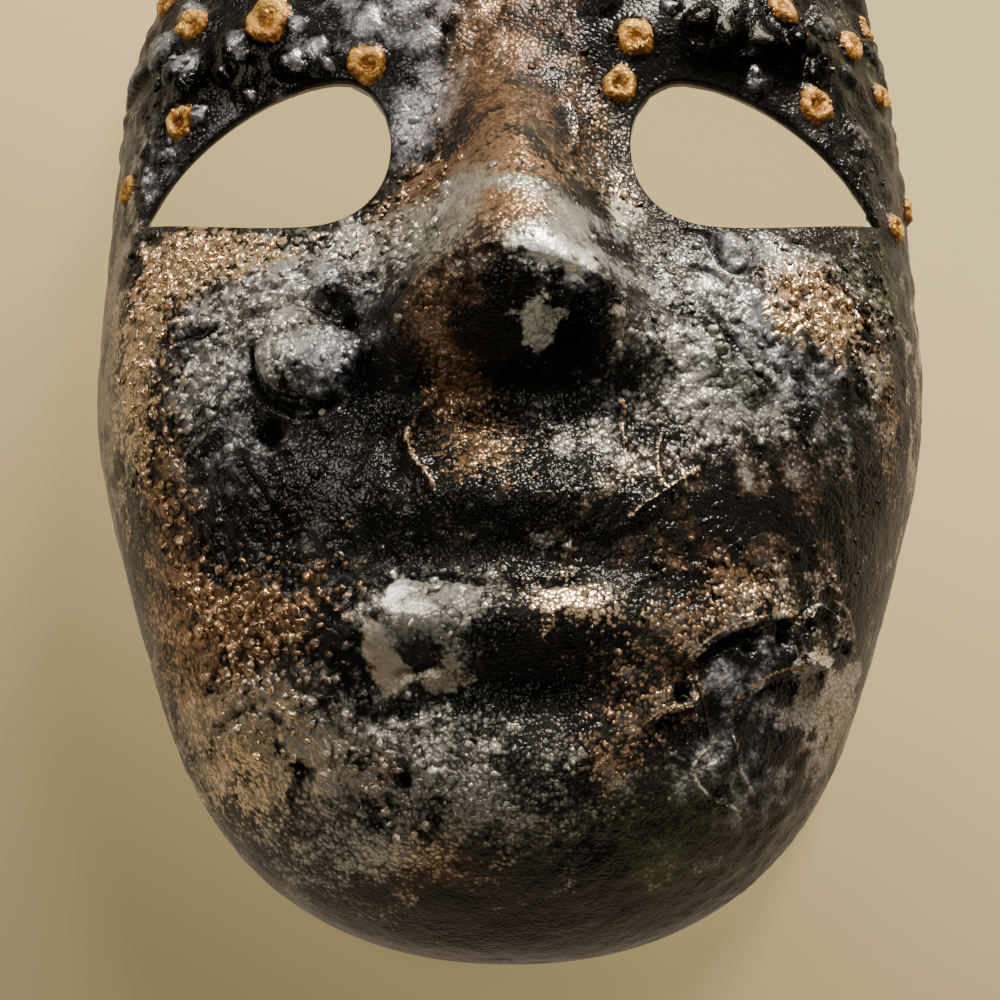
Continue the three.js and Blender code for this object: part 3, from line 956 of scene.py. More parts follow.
def dot_distance(points, form):
    """How far inside the edge of the nearest ochre dot each point lies, below zero outside, the relief there,
    and the share of painted highlight, which is more on the raised ring and towards the forehead."""
    inside = np.full(len(points), -9.0)
    relief = np.zeros(len(points))
    lit = np.zeros(len(points))
    for number, (x, y, radius) in enumerate(DOTS):
        radius *= DOT_SPREAD
        middle = np.array([x, y, form.rise(np.array([x]), np.array([y]))[0]])
        offset = points - middle
        angle = np.arctan2(offset[:, 1], offset[:, 0])
        waves = np.sin(3 * angle + number) + 0.7 * np.sin(5 * angle + 2.3 * number)
        out = np.linalg.norm(offset, axis=1) * (1 + DOT_WAVINESS * waves)
        inside = np.maximum(inside, radius - out)
        ring = hump(out - 0.68 * radius, 0.27 * radius) + 0.3 * hump(out, radius, 6)
        relief = np.maximum(relief, DOT_RISE * ring)
        lit = np.where(radius > out - 1, ring + 0.4 * offset[:, 1] / radius, lit)
    return inside, relief, lit


OUTSIDE, EDGE, INSIDE = 0, 1, 2


def sheet(form, rings, depth, clearance, reach, finenesses=()):
    """A sheet at a depth under the bare surface: its points, triangles, outward normals and rim, and how far
    each point is outside the eye holes, where those within reach of an outline are drawn onto it."""
    places, triangles = form.web(rings)
    rim = slice(len(places) - SECTORS * rings, len(places))
    for fineness in finenesses:
        places, triangles = refined(places, triangles, detailed(places, form, fineness))
    points = np.column_stack([places, form.rise(places[:, 0], places[:, 1])])
    points[rim, 2] = 0
    normals = vertex_normals(points, triangles)
    normals[rim, 2] = 0
    normals /= np.linalg.norm(normals, axis=1, keepdims=True)
    points = points - normals * depth
    levels = [snap(points, eye_outline(side), clearance, reach) for side in (-1, 1)]
    return points, triangles, normals, rim, np.minimum(*levels)


def shell_mesh(form, shell):
    """The moulded shell with its hand-made relief: its points, its triangles and the kind of each."""
    builder = MeshBuilder()
    radius = shell.edge_radius / MM
    outer, triangles, normals, rim, level = sheet(
        form, shell.outer_rings, shell.crust_room / MM, radius, OUTER_SNAP, (1, 2)
    )
    outer[rim, 2] = radius
    relief = sculpted_relief(outer, form) * smooth(level, 0, 2) * smooth(outer[:, 2], radius, 6)
    outer, kept, outer_loops = trim(outer + normals * relief[:, None], triangles, level)
    builder.add(outer, kept, OUTSIDE)

    inner, triangles, _, inner_rim, level = sheet(form, shell.inner_rings, form.wall, 0, INNER_SNAP)
    inner, kept, inner_loops = trim(inner, triangles[:, ::-1], level)
    shift = builder.add(inner, kept, INSIDE)

    for side in (-1, 1):
        outer_loop = next(loop for loop in outer_loops if np.mean(outer[loop, 0]) * side > 0)
        inner_loop = next(loop for loop in inner_loops if np.mean(inner[loop, 0]) * side > 0)
        start = builder.points[outer_loop]
        _, nearest = outline_distance(start[:, :2], eye_outline(side))
        inward = np.column_stack([(nearest - start[:, :2]) / radius, np.zeros(len(start))])
        loop = outer_loop
        for turn in np.radians(EYE_EDGE_TURNS):
            ring = start + inward * radius * math.sin(turn)
            ring[:, 2] -= radius * (1 - math.cos(turn))
            loop = builder.strip(loop, ring, OUTSIDE)
        ring[:, 2] -= PAINTED_WALL
        loop = builder.strip(loop, ring, OUTSIDE)
        middle = np.array([side * EYE_MIDDLE[0], EYE_MIDDLE[1]])
        builder.zip(loop, [index + shift for index in inner_loop][::-1], middle, EDGE)

    loop = np.arange(rim.start, rim.stop)
    start = builder.points[loop]
    inward = np.array(WEB_MIDDLE) - start[:, :2]
    inward /= np.linalg.norm(inward, axis=1, keepdims=True)
    for turn in np.radians(RIM_EDGE_TURNS):
        ring = start.copy()
        ring[:, :2] += inward * radius * (1 - math.cos(turn))
        ring[:, 2] = radius * (1 - math.sin(turn))
        loop = builder.strip(loop, ring, OUTSIDE)
    inner_loop = range(shift + inner_rim.start, shift + inner_rim.stop)
    builder.zip(loop, inner_loop, np.array(WEB_MIDDLE), EDGE)
    return builder.points, np.concatenate(builder.triangles), np.concatenate(builder.kinds)


def all_lumps():
    """The listed lumps and, on the brows and the forehead, others strewn between them."""
    lumps = list(LUMPS.values())
    random = np.random.default_rng(STREWN_SEED)
    while len(lumps) < len(LUMPS) + STREWN_LUMPS:
        x, y = random.uniform(*STREWN_ACROSS), random.uniform(*STREWN_ALONG)
        radius = random.uniform(*STREWN_RADIUS)
        on_brow = y > BROW_LEVEL + BROW_ARCH * (abs(x) - BROW_MIDDLE) ** 2 and abs(x) > BRIDGE_HALF
        free = all(math.hypot(x - lump[0], y - lump[1]) > 0.9 * (radius + lump[2]) for lump in lumps)
        clear = all(math.hypot(x - dot[0], y - dot[1]) > radius + 0.8 * dot[2] for dot in DOTS)
        if on_brow and free and clear:
            lumps.append((x, y, radius, STREWN_STEEPNESS * radius, STREWN_ROUNDNESS))
    return lumps


def detailed(places, form, fineness):
    """Which places of the web lie where the relief is fine, away from the rim."""
    x, y = places[:, 0], places[:, 1]
    close = np.zeros(len(places), bool)
    if fineness == 1:
        rounds = [(at_x, at_y, 1.25 * radius) for at_x, at_y, radius, *_ in all_lumps()]
        rounds += [(at_x, at_y, 2 * radius) for at_x, at_y, radius, _ in PITS.values()]
        rounds += [(at_x, at_y, 1.3 * radius) for at_x, at_y, radius in DOTS]
        for at_x, at_y, radius in rounds:
            close |= np.hypot(x - at_x, y - at_y) < radius
    for stroke in STROKES.values():
        if fineness == 1 or stroke.fine:
            near, distance, _ = beside(stroke, x, y)
            close[near] |= np.abs(distance) < 2 / fineness + 1.5 * stroke.spread
    return close & (form.reach(x, y) < DETAIL_END)


def sculpted_relief(points, form):
    """Hand-made relief on the outside: lumps, pits, creases, folds and dots."""
    x, y = points[:, 0], points[:, 1]
    _, relief, _ = dot_distance(points, form)
    for number, (at_x, at_y, radius, rise, roundness) in enumerate(all_lumps()):
        angle = np.arctan2(y - at_y, x - at_x)
        uneven = 1 + LUMP_WAVINESS * (np.sin(2 * angle + number) + 0.7 * np.sin(3 * angle + 2.1 * number))
        out = np.hypot(x - at_x, y - at_y) / radius * uneven
        relief += rise * np.sqrt(np.maximum(0, 1 - out**roundness)) - 0.12 * rise * hump(out - 1.15, 0.2)
    for at_x, at_y, radius, depth in PITS.values():
        out = np.hypot(x - at_x, y - at_y) / radius
        relief += depth * (0.2 * hump(out - 1.3, 0.3) - hump(out, 0.8, 3))
    for stroke in STROKES.values():
        relief += stroke_relief(stroke, x, y)
    return relief


def outside_share(points, triangles, kinds):
    """1 on the outside, less beside the eye holes and near the rim, and 0 on the cut edges and inside."""
    outside = np.zeros(len(points))
    outside[np.unique(triangles[kinds == OUTSIDE])] = 1
    outside[np.unique(triangles[kinds != OUTSIDE])] = 0
    for side in (-1, 1):
        near = np.hypot(points[:, 0] - side * EYE_MIDDLE[0], points[:, 1] - EYE_MIDDLE[1]) < EYE_REACH
        distance, _ = outline_distance(points[near, :2], eye_outline(side))
        outside[near] *= smooth(distance, 0.2, 2.5) * 0.75 + 0.25 * smooth(distance, 0.2, 0.8)
    return outside * smooth(points[:, 2], 0.8, 4)


def all_covers(points, form, outside):
    """What the crust and the paint read from each point: how much of each paint and kind of grit is there,
    how near the ochre dots are, and where loose grains and beads may lie."""
    x, y = points[:, 0], points[:, 1]
    covers = {kind: dab_cover(x, y, kind) for kind in DABS}

    def cover_more(kind, cover, where=slice(None)):
        covers[kind][where] = np.maximum(covers[kind][where], cover)

    # Painted shade in the pits and along the grooves, where their hollows fall in shade.
    for at_x, at_y, radius, _ in PITS.values():
        cover_more("dark", hump(np.hypot(x - at_x, y - at_y) / radius, 1, 4))
    for stroke in STROKES.values():
        if stroke.kind == "groove":
            near, distance, along = beside(stroke, x, y)
            soot = min(MOST_GROOVE_SHADE, GROOVE_SHADE_FOR_RISE * stroke.rise) * hump(distance, 1.1 * stroke.spread)
            cover_more("dark", soot * thinned(along), near)
    # Painted shade takes the coats away, but for the pale, the beige and the painted highlight.
    for kind in COATS:
        light = 1 if kind in NEVER_DARK else 1 - covers["dark"]
        covers[kind] = np.maximum(covers[kind], SPRINKLE.get(kind, 0)) * light
    for at_x, at_y, radius, *_ in all_lumps():
        out = np.hypot(x - at_x, y - at_y) / radius
        cover_more("lilac", np.where(x < LILAC_SIDE, 0.85, 0.16) * hump(out, 0.75))
        cover_more("copper", np.where(x < LILAC_SIDE, 0.1, 0.4) * hump(out, 0.45))
    for stroke in STROKES.values():
        if stroke.rubbed:
            near, distance, along = beside(stroke, x, y)
            shift = stroke.spread if stroke.kind == "flap" else 0
            edge = RUBBED_COVER[stroke.rubbed] * hump(distance - shift, 0.8 * stroke.spread)
            cover_more(stroke.rubbed, edge * smooth(along, 0, 0.1), near)
    wall = smooth(form.reach(x, y), *SIDE_WALL)
    cover_more("smooth", 0.6 * wall)
    drop = hump(np.hypot(x - DROP[0], y - DROP[1]), DROP[2], 4)
    covers["beads"] *= 1 - wall
    covers["beads"] *= 1 - 0.8 * drop
    covers["crumpled"] *= 1 - 0.85 * drop
    inside, _, dot_lit_share = dot_distance(points, form)
    covers["smooth"] *= 1 - 0.8 * smooth(inside, -0.3, 0.3)
    covers |= {"dot": inside, "dot_paleness": dot_lit_share, "outside": outside}

    nose = hump(np.hypot(x / NOSE_FREE[1], (y - NOSE_FREE[0]) / NOSE_FREE[2]), 1, 4)
    room = (1 - covers["beige"]) * (1 - covers["pale"]) * (1 - 0.9 * nose) * (1 - wall) * (outside > 0.9)
    covers["grit"] = (covers["beads"] * 0.8 + 0.2) * room * (1 - covers["smooth"])
    covers["bead_cover"] = covers["beads"] * room * (1 - 0.8 * covers["smooth"])
    return covers


def to_object(name, points, triangles):
    """A mesh object in the scene, at the origin."""
    mesh = bpy.data.meshes.new(name)
    mesh.from_pydata(points.tolist(), [], triangles.tolist())
    mesh.polygons.foreach_set("use_smooth", np.ones(len(mesh.polygons), bool))
    mesh.update()
    made = bpy.data.objects.new(name, mesh)
    bpy.context.scene.collection.objects.link(made)
    return made


def store(mesh, name, values, domain="POINT"):
    """Keeps a number for each point or face, for the crust and the paint."""
    mesh.attributes.new(name, "FLOAT", domain).data.foreach_set("value", np.asarray(values, np.float32))


# Which way the folds run beside the nose, how they are drawn out that way, and how far left and right differ.
FOLD_SLANT = math.radians(50)
FOLD_STRETCH = (0.5, 1.0, 1.0)
FOLD_SHIFT = 0.05

# What the crust is made of, and what is set for each.
CRUST_PARTS = [
    f"{part} {measure}" for part in ("Wave", "Fold", "Lump", "Bead") for measure in ("Size", "Height")
]

# Scales of the noise that bends the crust and the loose grains, and how far it shifts the crust.
CRUST_WARP = 260.0
CRUST_WARP_SHIFT = 0.0022
GRAIN_WARP = 700.0


class Value:
    """A socket of a node tree, which takes sums and products as a number does."""

    def __init__(self, wires, socket):
        self.wires = wires
        self.socket = socket

    def __add__(self, other):
        return self.wires.math("ADD", self, other)

    def __sub__(self, other):
        return self.wires.math("SUBTRACT", self, other)

    def __rsub__(self, other):
        return self.wires.math("SUBTRACT", other, self)

    def __mul__(self, other):
        return self.wires.math("MULTIPLY", self, other)

    def __rtruediv__(self, other):
        return self.wires.math("DIVIDE", other, self)

    def __abs__(self):
        return self.wires.math("ABSOLUTE", self)


class Wiring:
    """Adds nodes to a tree and joins them."""

    def __init__(self, tree):
        self.tree = tree

    def feed(self, socket, value):
        if isinstance(value, Value):
            self.tree.links.new(value.socket, socket)
        else:
            socket.default_value = value

    def node(self, kind, feeds=None, **settings):
        node = self.tree.nodes.new(kind)
        for name, value in settings.items():
            setattr(node, name, value)
        for key, value in (feeds or {}).items():
            self.feed(node.inputs[key], value)
        return node

    def value(self, kind, feeds=None, output=0, **settings):
        """One output of a new node."""
        return Value(self, self.node(kind, feeds, **settings).outputs[output])

    def values(self, kind, feeds=None, **settings):
        """The outputs of a new node, by name."""
        return {socket.name: Value(self, socket) for socket in self.node(kind, feeds, **settings).outputs}

    def group(self, name, feeds=None):
        return self.values("ShaderNodeGroup", feeds, node_tree=bpy.data.node_groups[name])

    def math(self, operation, *values, clamp=False):
        return self.value("ShaderNodeMath", dict(enumerate(values)), operation=operation, use_clamp=clamp)

    def vector(self, operation, first, second):
        """Vector maths, where SCALE takes a number as its second value."""
        key = "Scale" if operation == "SCALE" else 1
        return self.value("ShaderNodeVectorMath", {0: first, key: second}, operation=operation)

    def span(self, value, low, high, to_low=0.0, to_high=1.0, soft=True):
        """Carries a value from one span to another, held at its ends."""
        feeds = {"Value": value, "From Min": low, "From Max": high, "To Min": to_low, "To Max": to_high}
        return self.value("ShaderNodeMapRange", feeds, interpolation_type="SMOOTHSTEP" if soft else "LINEAR")

    def blend(self, share, first, second):
        """Mixes two numbers."""
        return self.value("ShaderNodeMix", {0: share, 2: first, 3: second}, data_type="FLOAT")

    def tint(self, share, first, second):
        """Mixes two colours."""
        return self.value("ShaderNodeMix", {0: share, 6: first, 7: second}, 2, data_type="RGBA")

    def noise(self, vector, scale, detail=2.0, roughness=0.5, output=0):
        feeds = {"Vector": vector, "Scale": scale, "Detail": detail, "Roughness": roughness}
        return self.value("ShaderNodeTexNoise", feeds, output)

    def pleated(self, vector, size, detail):
        """Noise folded along its middle, so that it has creases at 0."""
        return abs(self.noise(vector, 1.0 / size, detail, 0.55) - 0.5)

    def stored(self, name):
        """A number kept on the mesh, in Geometry Nodes."""
        return self.value("GeometryNodeInputNamedAttribute", {"Name": name}, data_type="FLOAT")

    def store(self, geometry, name, value):
        feeds = {"Geometry": geometry, "Name": name, "Value": value}
        return self.value("GeometryNodeStoreNamedAttribute", feeds, data_type="FLOAT", domain="POINT")

    def held(self, geometry, given):
        """Keeps a surface inside the box of the solid shell."""
        raised = self.vector("MAXIMUM", self.value("GeometryNodeInputPosition"), given["Low"])
        place = self.vector("MINIMUM", raised, given["High"])
        return self.value("GeometryNodeSetPosition", {"Geometry": geometry, "Position": place})

    def attribute(self, name):
        """A number kept on the mesh, in a shader."""
        return self.value("ShaderNodeAttribute", output="Fac", attribute_name=name)

    def bump(self, height, depth):
        return self.value("ShaderNodeBump", {"Height": height, "Distance": depth, "Strength": 1.0})


def new_group(kind, name, inputs, outputs):
    """A node group, its wiring and its inputs. A socket is given by its first number, or by its kind."""
    tree = bpy.data.node_groups.new(name, kind)
    for way, sockets in (("INPUT", inputs), ("OUTPUT", outputs)):
        for label, start in sockets.items():
            socket_kind = start if isinstance(start, str) else type(start).__name__.title()
            socket = tree.interface.new_socket(name=label, in_out=way, socket_type="NodeSocket" + socket_kind)
            if not isinstance(start, str):
                socket.default_value = start
    wires = Wiring(tree)
    return tree, wires, wires.values("NodeGroupInput")


def crust_tree():
    """Geometry Nodes: waves, lumps and beads of filler and grit, raised along the shell's normals."""
    inputs = {"Geometry": "Geometry", **dict.fromkeys(CRUST_PARTS, 1.0)}
    inputs |= {"Low": "Vector", "High": "Vector", "Paint": "Material", "Pulp": "Material"}
    tree, wires, given = new_group("GeometryNodeTree", "Crust", inputs, {"Geometry": "Geometry"})
    position = wires.value("GeometryNodeInputPosition")

    wave = (wires.noise(position, 1.0 / given["Wave Size"], 4.0, 0.6) - 0.5) * 2.2

    across, along, up = wires.values("ShaderNodeSeparateXYZ", {0: position}).values()
    out = abs(across)
    along = along + wires.math("SIGN", across) * FOLD_SHIFT
    mirrored = wires.value("ShaderNodeCombineXYZ", {0: out, 1: along, 2: up})
    slanted = wires.value(
        "ShaderNodeVectorRotate", {"Vector": mirrored, "Angle": FOLD_SLANT}, rotation_type="Z_AXIS"
    )
    fold = wires.pleated(wires.vector("MULTIPLY", slanted, FOLD_STRETCH), given["Fold Size"], 2.5)
    fold = wires.math("MULTIPLY", fold, 5.0, clamp=True) - 0.4

    warp = wires.noise(position, CRUST_WARP, 1.0, output="Color")
    bent = wires.vector("ADD", position, wires.vector("MULTIPLY", warp, (CRUST_WARP_SHIFT,) * 3))

    def domes(part, roundness):
        feeds = {"Vector": bent, "Scale": 1.0 / given[f"{part} Size"], "Randomness": 0.9}
        return wires.span(wires.value("ShaderNodeTexVoronoi", feeds, "Distance"), roundness, 0.05)

    lump = domes("Lump", 0.62)
    bead = domes("Bead", 0.66)
    folds = fold * given["Fold Height"] * wires.stored("crumpled")
    lumps = lump * given["Lump Height"] * wires.stored("lumpy")
    beads = bead * given["Bead Height"] * wires.stored("beads")
    waves = wave * given["Wave Height"] * (1.0 - wires.stored("smooth"))
    total = (lumps + beads + (waves + folds)) * wires.stored("outside")
    offset = wires.vector("SCALE", wires.value("GeometryNodeInputNormal"), total)
    high_spots = bead * wires.stored("beads") + wave * 0.5
    kept = wires.store(given["Geometry"], "high_spots", high_spots)
    raised = wires.value("GeometryNodeSetPosition", {"Geometry": kept, "Offset": offset})
    whole = wires.value("GeometryNodeRealizeInstances", {0: wires.held(raised, given)})
    painted = wires.value("GeometryNodeSetMaterial", {"Geometry": whole, "Material": given["Paint"]})
    bare = wires.math("GREATER_THAN", wires.stored("bare"), 0.5)
    feeds = {"Geometry": painted, "Selection": bare, "Material": given["Pulp"]}
    wires.node("NodeGroupOutput", {0: wires.value("GeometryNodeSetMaterial", feeds)})
    return tree


def grain_tree():
    """Geometry Nodes: grains or beads of paint, flat and round, that lie on the crust."""
    inputs = {"Geometry": "Geometry"}
    inputs |= dict.fromkeys(("Radius", "Gap", "Density", "Smallest", "Largest", "Wobble"), 1.0)
    inputs |= dict.fromkeys(("Seed", "Sides", "Levels"), 0)
    inputs |= {"Where": "String", "Low": "Vector", "High": "Vector", "Paint": "Material"}
    tree, wires, given = new_group("GeometryNodeTree", "Loose grains", inputs, {"Geometry": "Geometry"})
    spread = wires.values(
        "GeometryNodeDistributePointsOnFaces",
        {
            "Mesh": given["Geometry"],
            "Distance Min": given["Gap"],
            "Density Max": given["Density"],
            "Density Factor": wires.stored(given["Where"]),
            "Seed": given["Seed"],
        },
        distribute_method="POISSON",
    )
    feeds = {"Radius": given["Radius"], "Segments": given["Sides"], "Rings": given["Levels"]}
    ball = wires.value("GeometryNodeMeshUVSphere", feeds)
    upright = wires.value("ShaderNodeSeparateXYZ", {0: wires.value("GeometryNodeInputNormal")}, 2)
    ball = wires.store(ball, "bead_top", upright)
    feeds = {2: given["Smallest"], 3: given["Largest"], "Seed": given["Seed"]}
    size = wires.value("FunctionNodeRandomValue", feeds, 1, data_type="FLOAT")
    scale = wires.value("ShaderNodeCombineXYZ", {0: size, 1: size, 2: size * GRAIN_FLATNESS})
    feeds = {"Points": spread["Points"], "Instance": ball, "Rotation": spread["Rotation"], "Scale": scale}
    grains = wires.value("GeometryNodeInstanceOnPoints", feeds)
    whole = wires.value("GeometryNodeRealizeInstances", {0: grains})
    bend = wires.noise(wires.value("GeometryNodeInputPosition"), GRAIN_WARP, 1.0, output="Color")
    bend = wires.vector("SCALE", wires.vector("SUBTRACT", bend, (0.5, 0.5, 0.5)), given["Wobble"])
    bent = wires.value("GeometryNodeSetPosition", {"Geometry": whole, "Offset": bend})
    rounded = wires.value("GeometryNodeSetShadeSmooth", {"Geometry": wires.held(bent, given)})
    feeds = {"Geometry": rounded, "Material": given["Paint"]}
    wires.node("NodeGroupOutput", {0: wires.value("GeometryNodeSetMaterial", feeds)})
    return tree


def grown(made, tree, values):
    """Runs a Geometry Nodes tree on an object and returns a new plain mesh."""
    modifier = made.modifiers.new(tree.name, "NODES")
    modifier.node_group = tree
    for item in tree.interface.items_tree:
        if item.in_out == "INPUT" and item.name in values:
            modifier[item.identifier] = values[item.name]
    bpy.context.view_layer.update()
    evaluated = made.evaluated_get(bpy.context.evaluated_depsgraph_get())
    mesh = bpy.data.meshes.new_from_object(evaluated)
    made.modifiers.remove(modifier)
    return mesh


def grain_group():
    """Shader group: the grit's height, a random number for each grain, a broad mottle and a crumpled film."""
    inputs = {"Vector": "Vector", "Fine Grain": FINE_GRAIN, "Coarse Grain": COARSE_GRAIN}
    inputs |= {"Pleat Size": PLEAT_SIZE, "Mottle Size": MOTTLE_SIZE, "Coarse Share": 0.0}
    outputs = dict.fromkeys(("Height", "Fleck", "Mottle", "Pleats"), "Float")
    _, wires, given = new_group("ShaderNodeTree", "Fine grit", inputs, outputs)
    place = given["Vector"]
    warp = wires.noise(place, GRIT_WARP, 0.0, output="Color")
    bent = wires.vector("ADD", place, wires.vector("SCALE", warp, given["Fine Grain"]))

    def domes(size):
        cells = wires.values("ShaderNodeTexVoronoi", {"Vector": bent, "Scale": 1.0 / size})
        out = cells["Distance"]
        dome = wires.math("SUBTRACT", 1.0, out * out * DOME_STEEPNESS, clamp=True)
        luck = wires.value("ShaderNodeSeparateColor", {0: cells["Color"]})
        return dome * wires.span(luck, 0.0, 1.0, 0.5, 1.0, soft=False), luck

    fine, fine_luck = domes(given["Fine Grain"])
    coarse, coarse_luck = domes(given["Coarse Grain"])
    height = wires.blend(given["Coarse Share"], fine, coarse)
    luck = wires.blend(given["Coarse Share"], fine_luck, coarse_luck)
    mottle = wires.noise(place, 1.0 / given["Mottle Size"], 4.0, 0.62)
    pleats = wires.math("MULTIPLY", wires.pleated(bent, given["Pleat Size"], 1.5), 5.0, clamp=True)
    wires.node("NodeGroupOutput", {0: height, 1: luck, 2: mottle, 3: pleats})


def cover_group():
    """Shader group: where a coat of paint lies, in broad patches broken up by the grit that it catches."""
    inputs = dict.fromkeys(("Cover", "Height", "Fleck", "Mottle", "Grain Share"), 0.5) | {"Softness": 0.05}
    _, wires, given = new_group("ShaderNodeTree", "Dry-brushed cover", inputs, {"Mask": "Float"})
    broad = wires.span(given["Mottle"], 0.28, 0.72, soft=False)
    grain = wires.blend(0.4, given["Height"], given["Fleck"])
    chance = wires.blend(given["Grain Share"], broad, grain)
    threshold = wires.span(given["Cover"], 0.0, 1.0, 0.9, 0.1, soft=False)
    mask = wires.span(chance, threshold - given["Softness"], threshold + given["Softness"])
    wires.node("NodeGroupOutput", {0: mask * wires.span(given["Cover"], 0.01, 0.08)})


def opaque(colour, shares=(1.0, 1.0, 1.0)):
    """A colour for a shader's socket, with its channels taken down to these shares."""
    return (*(channel * share for channel, share in zip(colour, shares)), 1.0)


def coats_group(paint):
    """Shader group: all coats of paint over the black ground, and the grit's height."""
    outputs = {"Color": "Color", "Metallic": "Float", "Roughness": "Float", "Height": "Float"}
    _, wires, _ = new_group("ShaderNodeTree", "Coats of paint", {}, outputs)
    place = wires.value("ShaderNodeTexCoord", output="Object")
    beaded = wires.attribute("beads")
    dark = wires.attribute("dark")
    film = wires.attribute("smooth")
    grit = wires.group("Fine grit", {"Vector": place, "Coarse Share": beaded})
    height, fleck, mottle, pleats = grit.values()
    lifted = height * 0.8 + (wires.attribute("high_spots") * 0.4 + wires.attribute("bead_top") * 0.5)
    # Random wear of dark wax on the black ground, pushed back to black in the painted shade.
    wear_and_shade = wires.noise(place, 110.0, 3.0, 0.6) - dark * 0.25
    colour = wires.tint(wires.span(wear_and_shade, 0.4, 0.72), opaque(paint.black), opaque(paint.soot))
    # The black is metallic in the painted shade, so that it gives back almost no light.
    metallic = wires.math("MAXIMUM", wires.span(wear_and_shade, 0.4, 0.65, 0.0, 0.6), wires.span(dark, 0.6, 0.9))
    roughness = wires.span(wear_and_shade, 0.3, 0.7, 0.24, 0.36)
    recess = wires.span(lifted, 0.05, 0.45, 0.42, 1.0) * wires.span(pleats, 0.0, 0.2, 0.5, 1.0)
    recess = wires.math("MAXIMUM", recess, film)
    for name, (metal, rough, softness, share) in COATS.items():
        feeds = {
            "Cover": wires.attribute(name),
            "Height": lifted,
            "Fleck": fleck,
            "Mottle": mottle,
            "Grain Share": share,
            "Softness": softness,
        }
        mask = wires.group("Dry-brushed cover", feeds)["Mask"] * recess
        colour = wires.tint(mask, colour, opaque(getattr(paint, name)))
        metallic = wires.blend(mask, metallic, metal)
        roughness = wires.blend(mask, roughness, rough)
    # Ochre on the dots' ring and forehead side is painted highlight, amber elsewhere painted shade.
    dot = wires.span(wires.attribute("dot") + (height - 0.4) * 0.45, -0.25, 0.25)
    dot_lit_share = wires.attribute("dot_paleness") + fleck * 0.6
    ochre = wires.tint(wires.span(dot_lit_share, 0.7, 1.5), opaque(paint.amber), opaque(paint.ochre))
    colour = wires.tint(dot, colour, ochre)
    metallic = wires.blend(dot, metallic, DOT_METAL)
    roughness = wires.blend(dot, roughness, DOT_ROUGHNESS)
    height = (height + pleats * (1.0 - film) * PLEAT_HEIGHT) * wires.blend(beaded, 1.0, COARSE_DEPTH)
    wires.node("NodeGroupOutput", {0: colour, 1: metallic, 2: roughness, 3: height})


def new_material(name):
    material = bpy.data.materials.new(name)
    material.use_nodes = True
    return material, Wiring(material.node_tree), material.node_tree.nodes["Principled BSDF"].inputs


def paint_material(name, grit_depth):
    """The painted crust: glossy black grit under coats of metallic paint."""
    material, wires, surface = new_material(name)
    coats = wires.group("Coats of paint")
    strength = wires.span(wires.attribute("smooth"), 0.0, 1.0, 1.0, SMOOTH_GRIT, soft=False)
    for part in ("Metallic", "Roughness"):
        wires.feed(surface[part], coats[part])
    wires.feed(surface["Base Color"], coats["Color"])
    wires.feed(surface["Normal"], wires.bump(coats["Height"] * strength, grit_depth))
    surface["Specular IOR Level"].default_value = PAINT_SPECULAR
    return material


def pulp_material(paint):
    """Bare moulded pulp: matte, fibrous and a little stained."""
    material, wires, surface = new_material("bare_pulp")
    place = wires.value("ShaderNodeTexCoord", output="Object")
    long_way = wires.value("ShaderNodeMapping", {"Vector": place, "Scale": (1.0, 0.45, 1.0)})
    fibre = wires.noise(long_way, 900.0, 4.0, 0.65)
    stain = wires.noise(place, 60.0, 3.0, 0.6)
    shade = opaque(paint.pulp, PULP_STAIN)
    colour = wires.tint(wires.span(stain, 0.35, 0.7), opaque(paint.pulp), shade)
    colour = wires.tint(wires.span(fibre, 0.35, 0.7, 0.0, 0.35), colour, shade)
    wires.feed(surface["Base Color"], colour)
    wires.feed(surface["Roughness"], wires.span(fibre, 0.3, 0.7, 0.82, 0.95))
    wires.feed(surface["Normal"], wires.bump(fibre, FIBRE_DEPTH))
    return material


def add_piece(name, mesh):
    """Puts a finished piece into the scene, on the mask's body."""
    made = bpy.data.objects.new(name, mesh)
    bpy.context.scene.collection.objects.link(made)
    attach(made, BODY)
    return made


class FACEMASK_OT_shell(Operator):
    """Make the shell of the mask with its crust"""

    bl_idname = "facemask.shell"
    bl_label = "Painted shell"

    def execute(self, context):
        scene = context.scene
        crust, paint = scene.mask_crust, scene.mask_paint
        form = Form(scene.mask_shell_settings)
        points, triangles, kinds = shell_mesh(form, scene.mask_shell_settings)
        base = to_object("crust_base", (points + (0, form.shift, 0)) * MM, triangles)
        for name, values in all_covers(points, form, outside_share(points, triangles, kinds)).items():
            store(base.data, name, values)
        store(base.data, "bare", kinds != OUTSIDE, "FACE")
        base.data.set_sharp_from_angle(angle=math.radians(SHARP_DEGREES))
        grain_group()
        cover_group()
        coats_group(paint)
        values = {name: getattr(crust, name.lower().replace(" ", "_")) for name in CRUST_PARTS}
        values |= {"Paint": paint_material("painted_crust", CRUST_GRIT_DEPTH), "Pulp": pulp_material(paint)}
        finished = add_piece("painted_mask", grown(base, crust_tree(), values | BOX))
        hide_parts(SHELL_NODE)
        bpy.data.objects.remove(base)
        return {"FINISHED"}


class FACEMASK_OT_grains(Operator):
    """Scatter loose grains of paint over the crust"""

    bl_idname = "facemask.grains"
    bl_label = "Grains and beads"

    def execute(self, context):
        crust = context.scene.mask_crust
        shell = bpy.data.objects["painted_mask"]
        tree = grain_tree()
        common = {"Seed": crust.seed, "Paint": paint_material("painted_grains", GRAIN_GRIT_DEPTH), **BOX}
        for kind, shape in LOOSE.items():
            values = common | dict(zip(LOOSE_SHAPE, shape))
            for name in ("Radius", "Gap", "Density"):
                values[name] = getattr(crust, f"{kind}_{name.lower()}")
            add_piece(f"paint_{kind}s", grown(shell, tree, values))
        return {"FINISHED"}


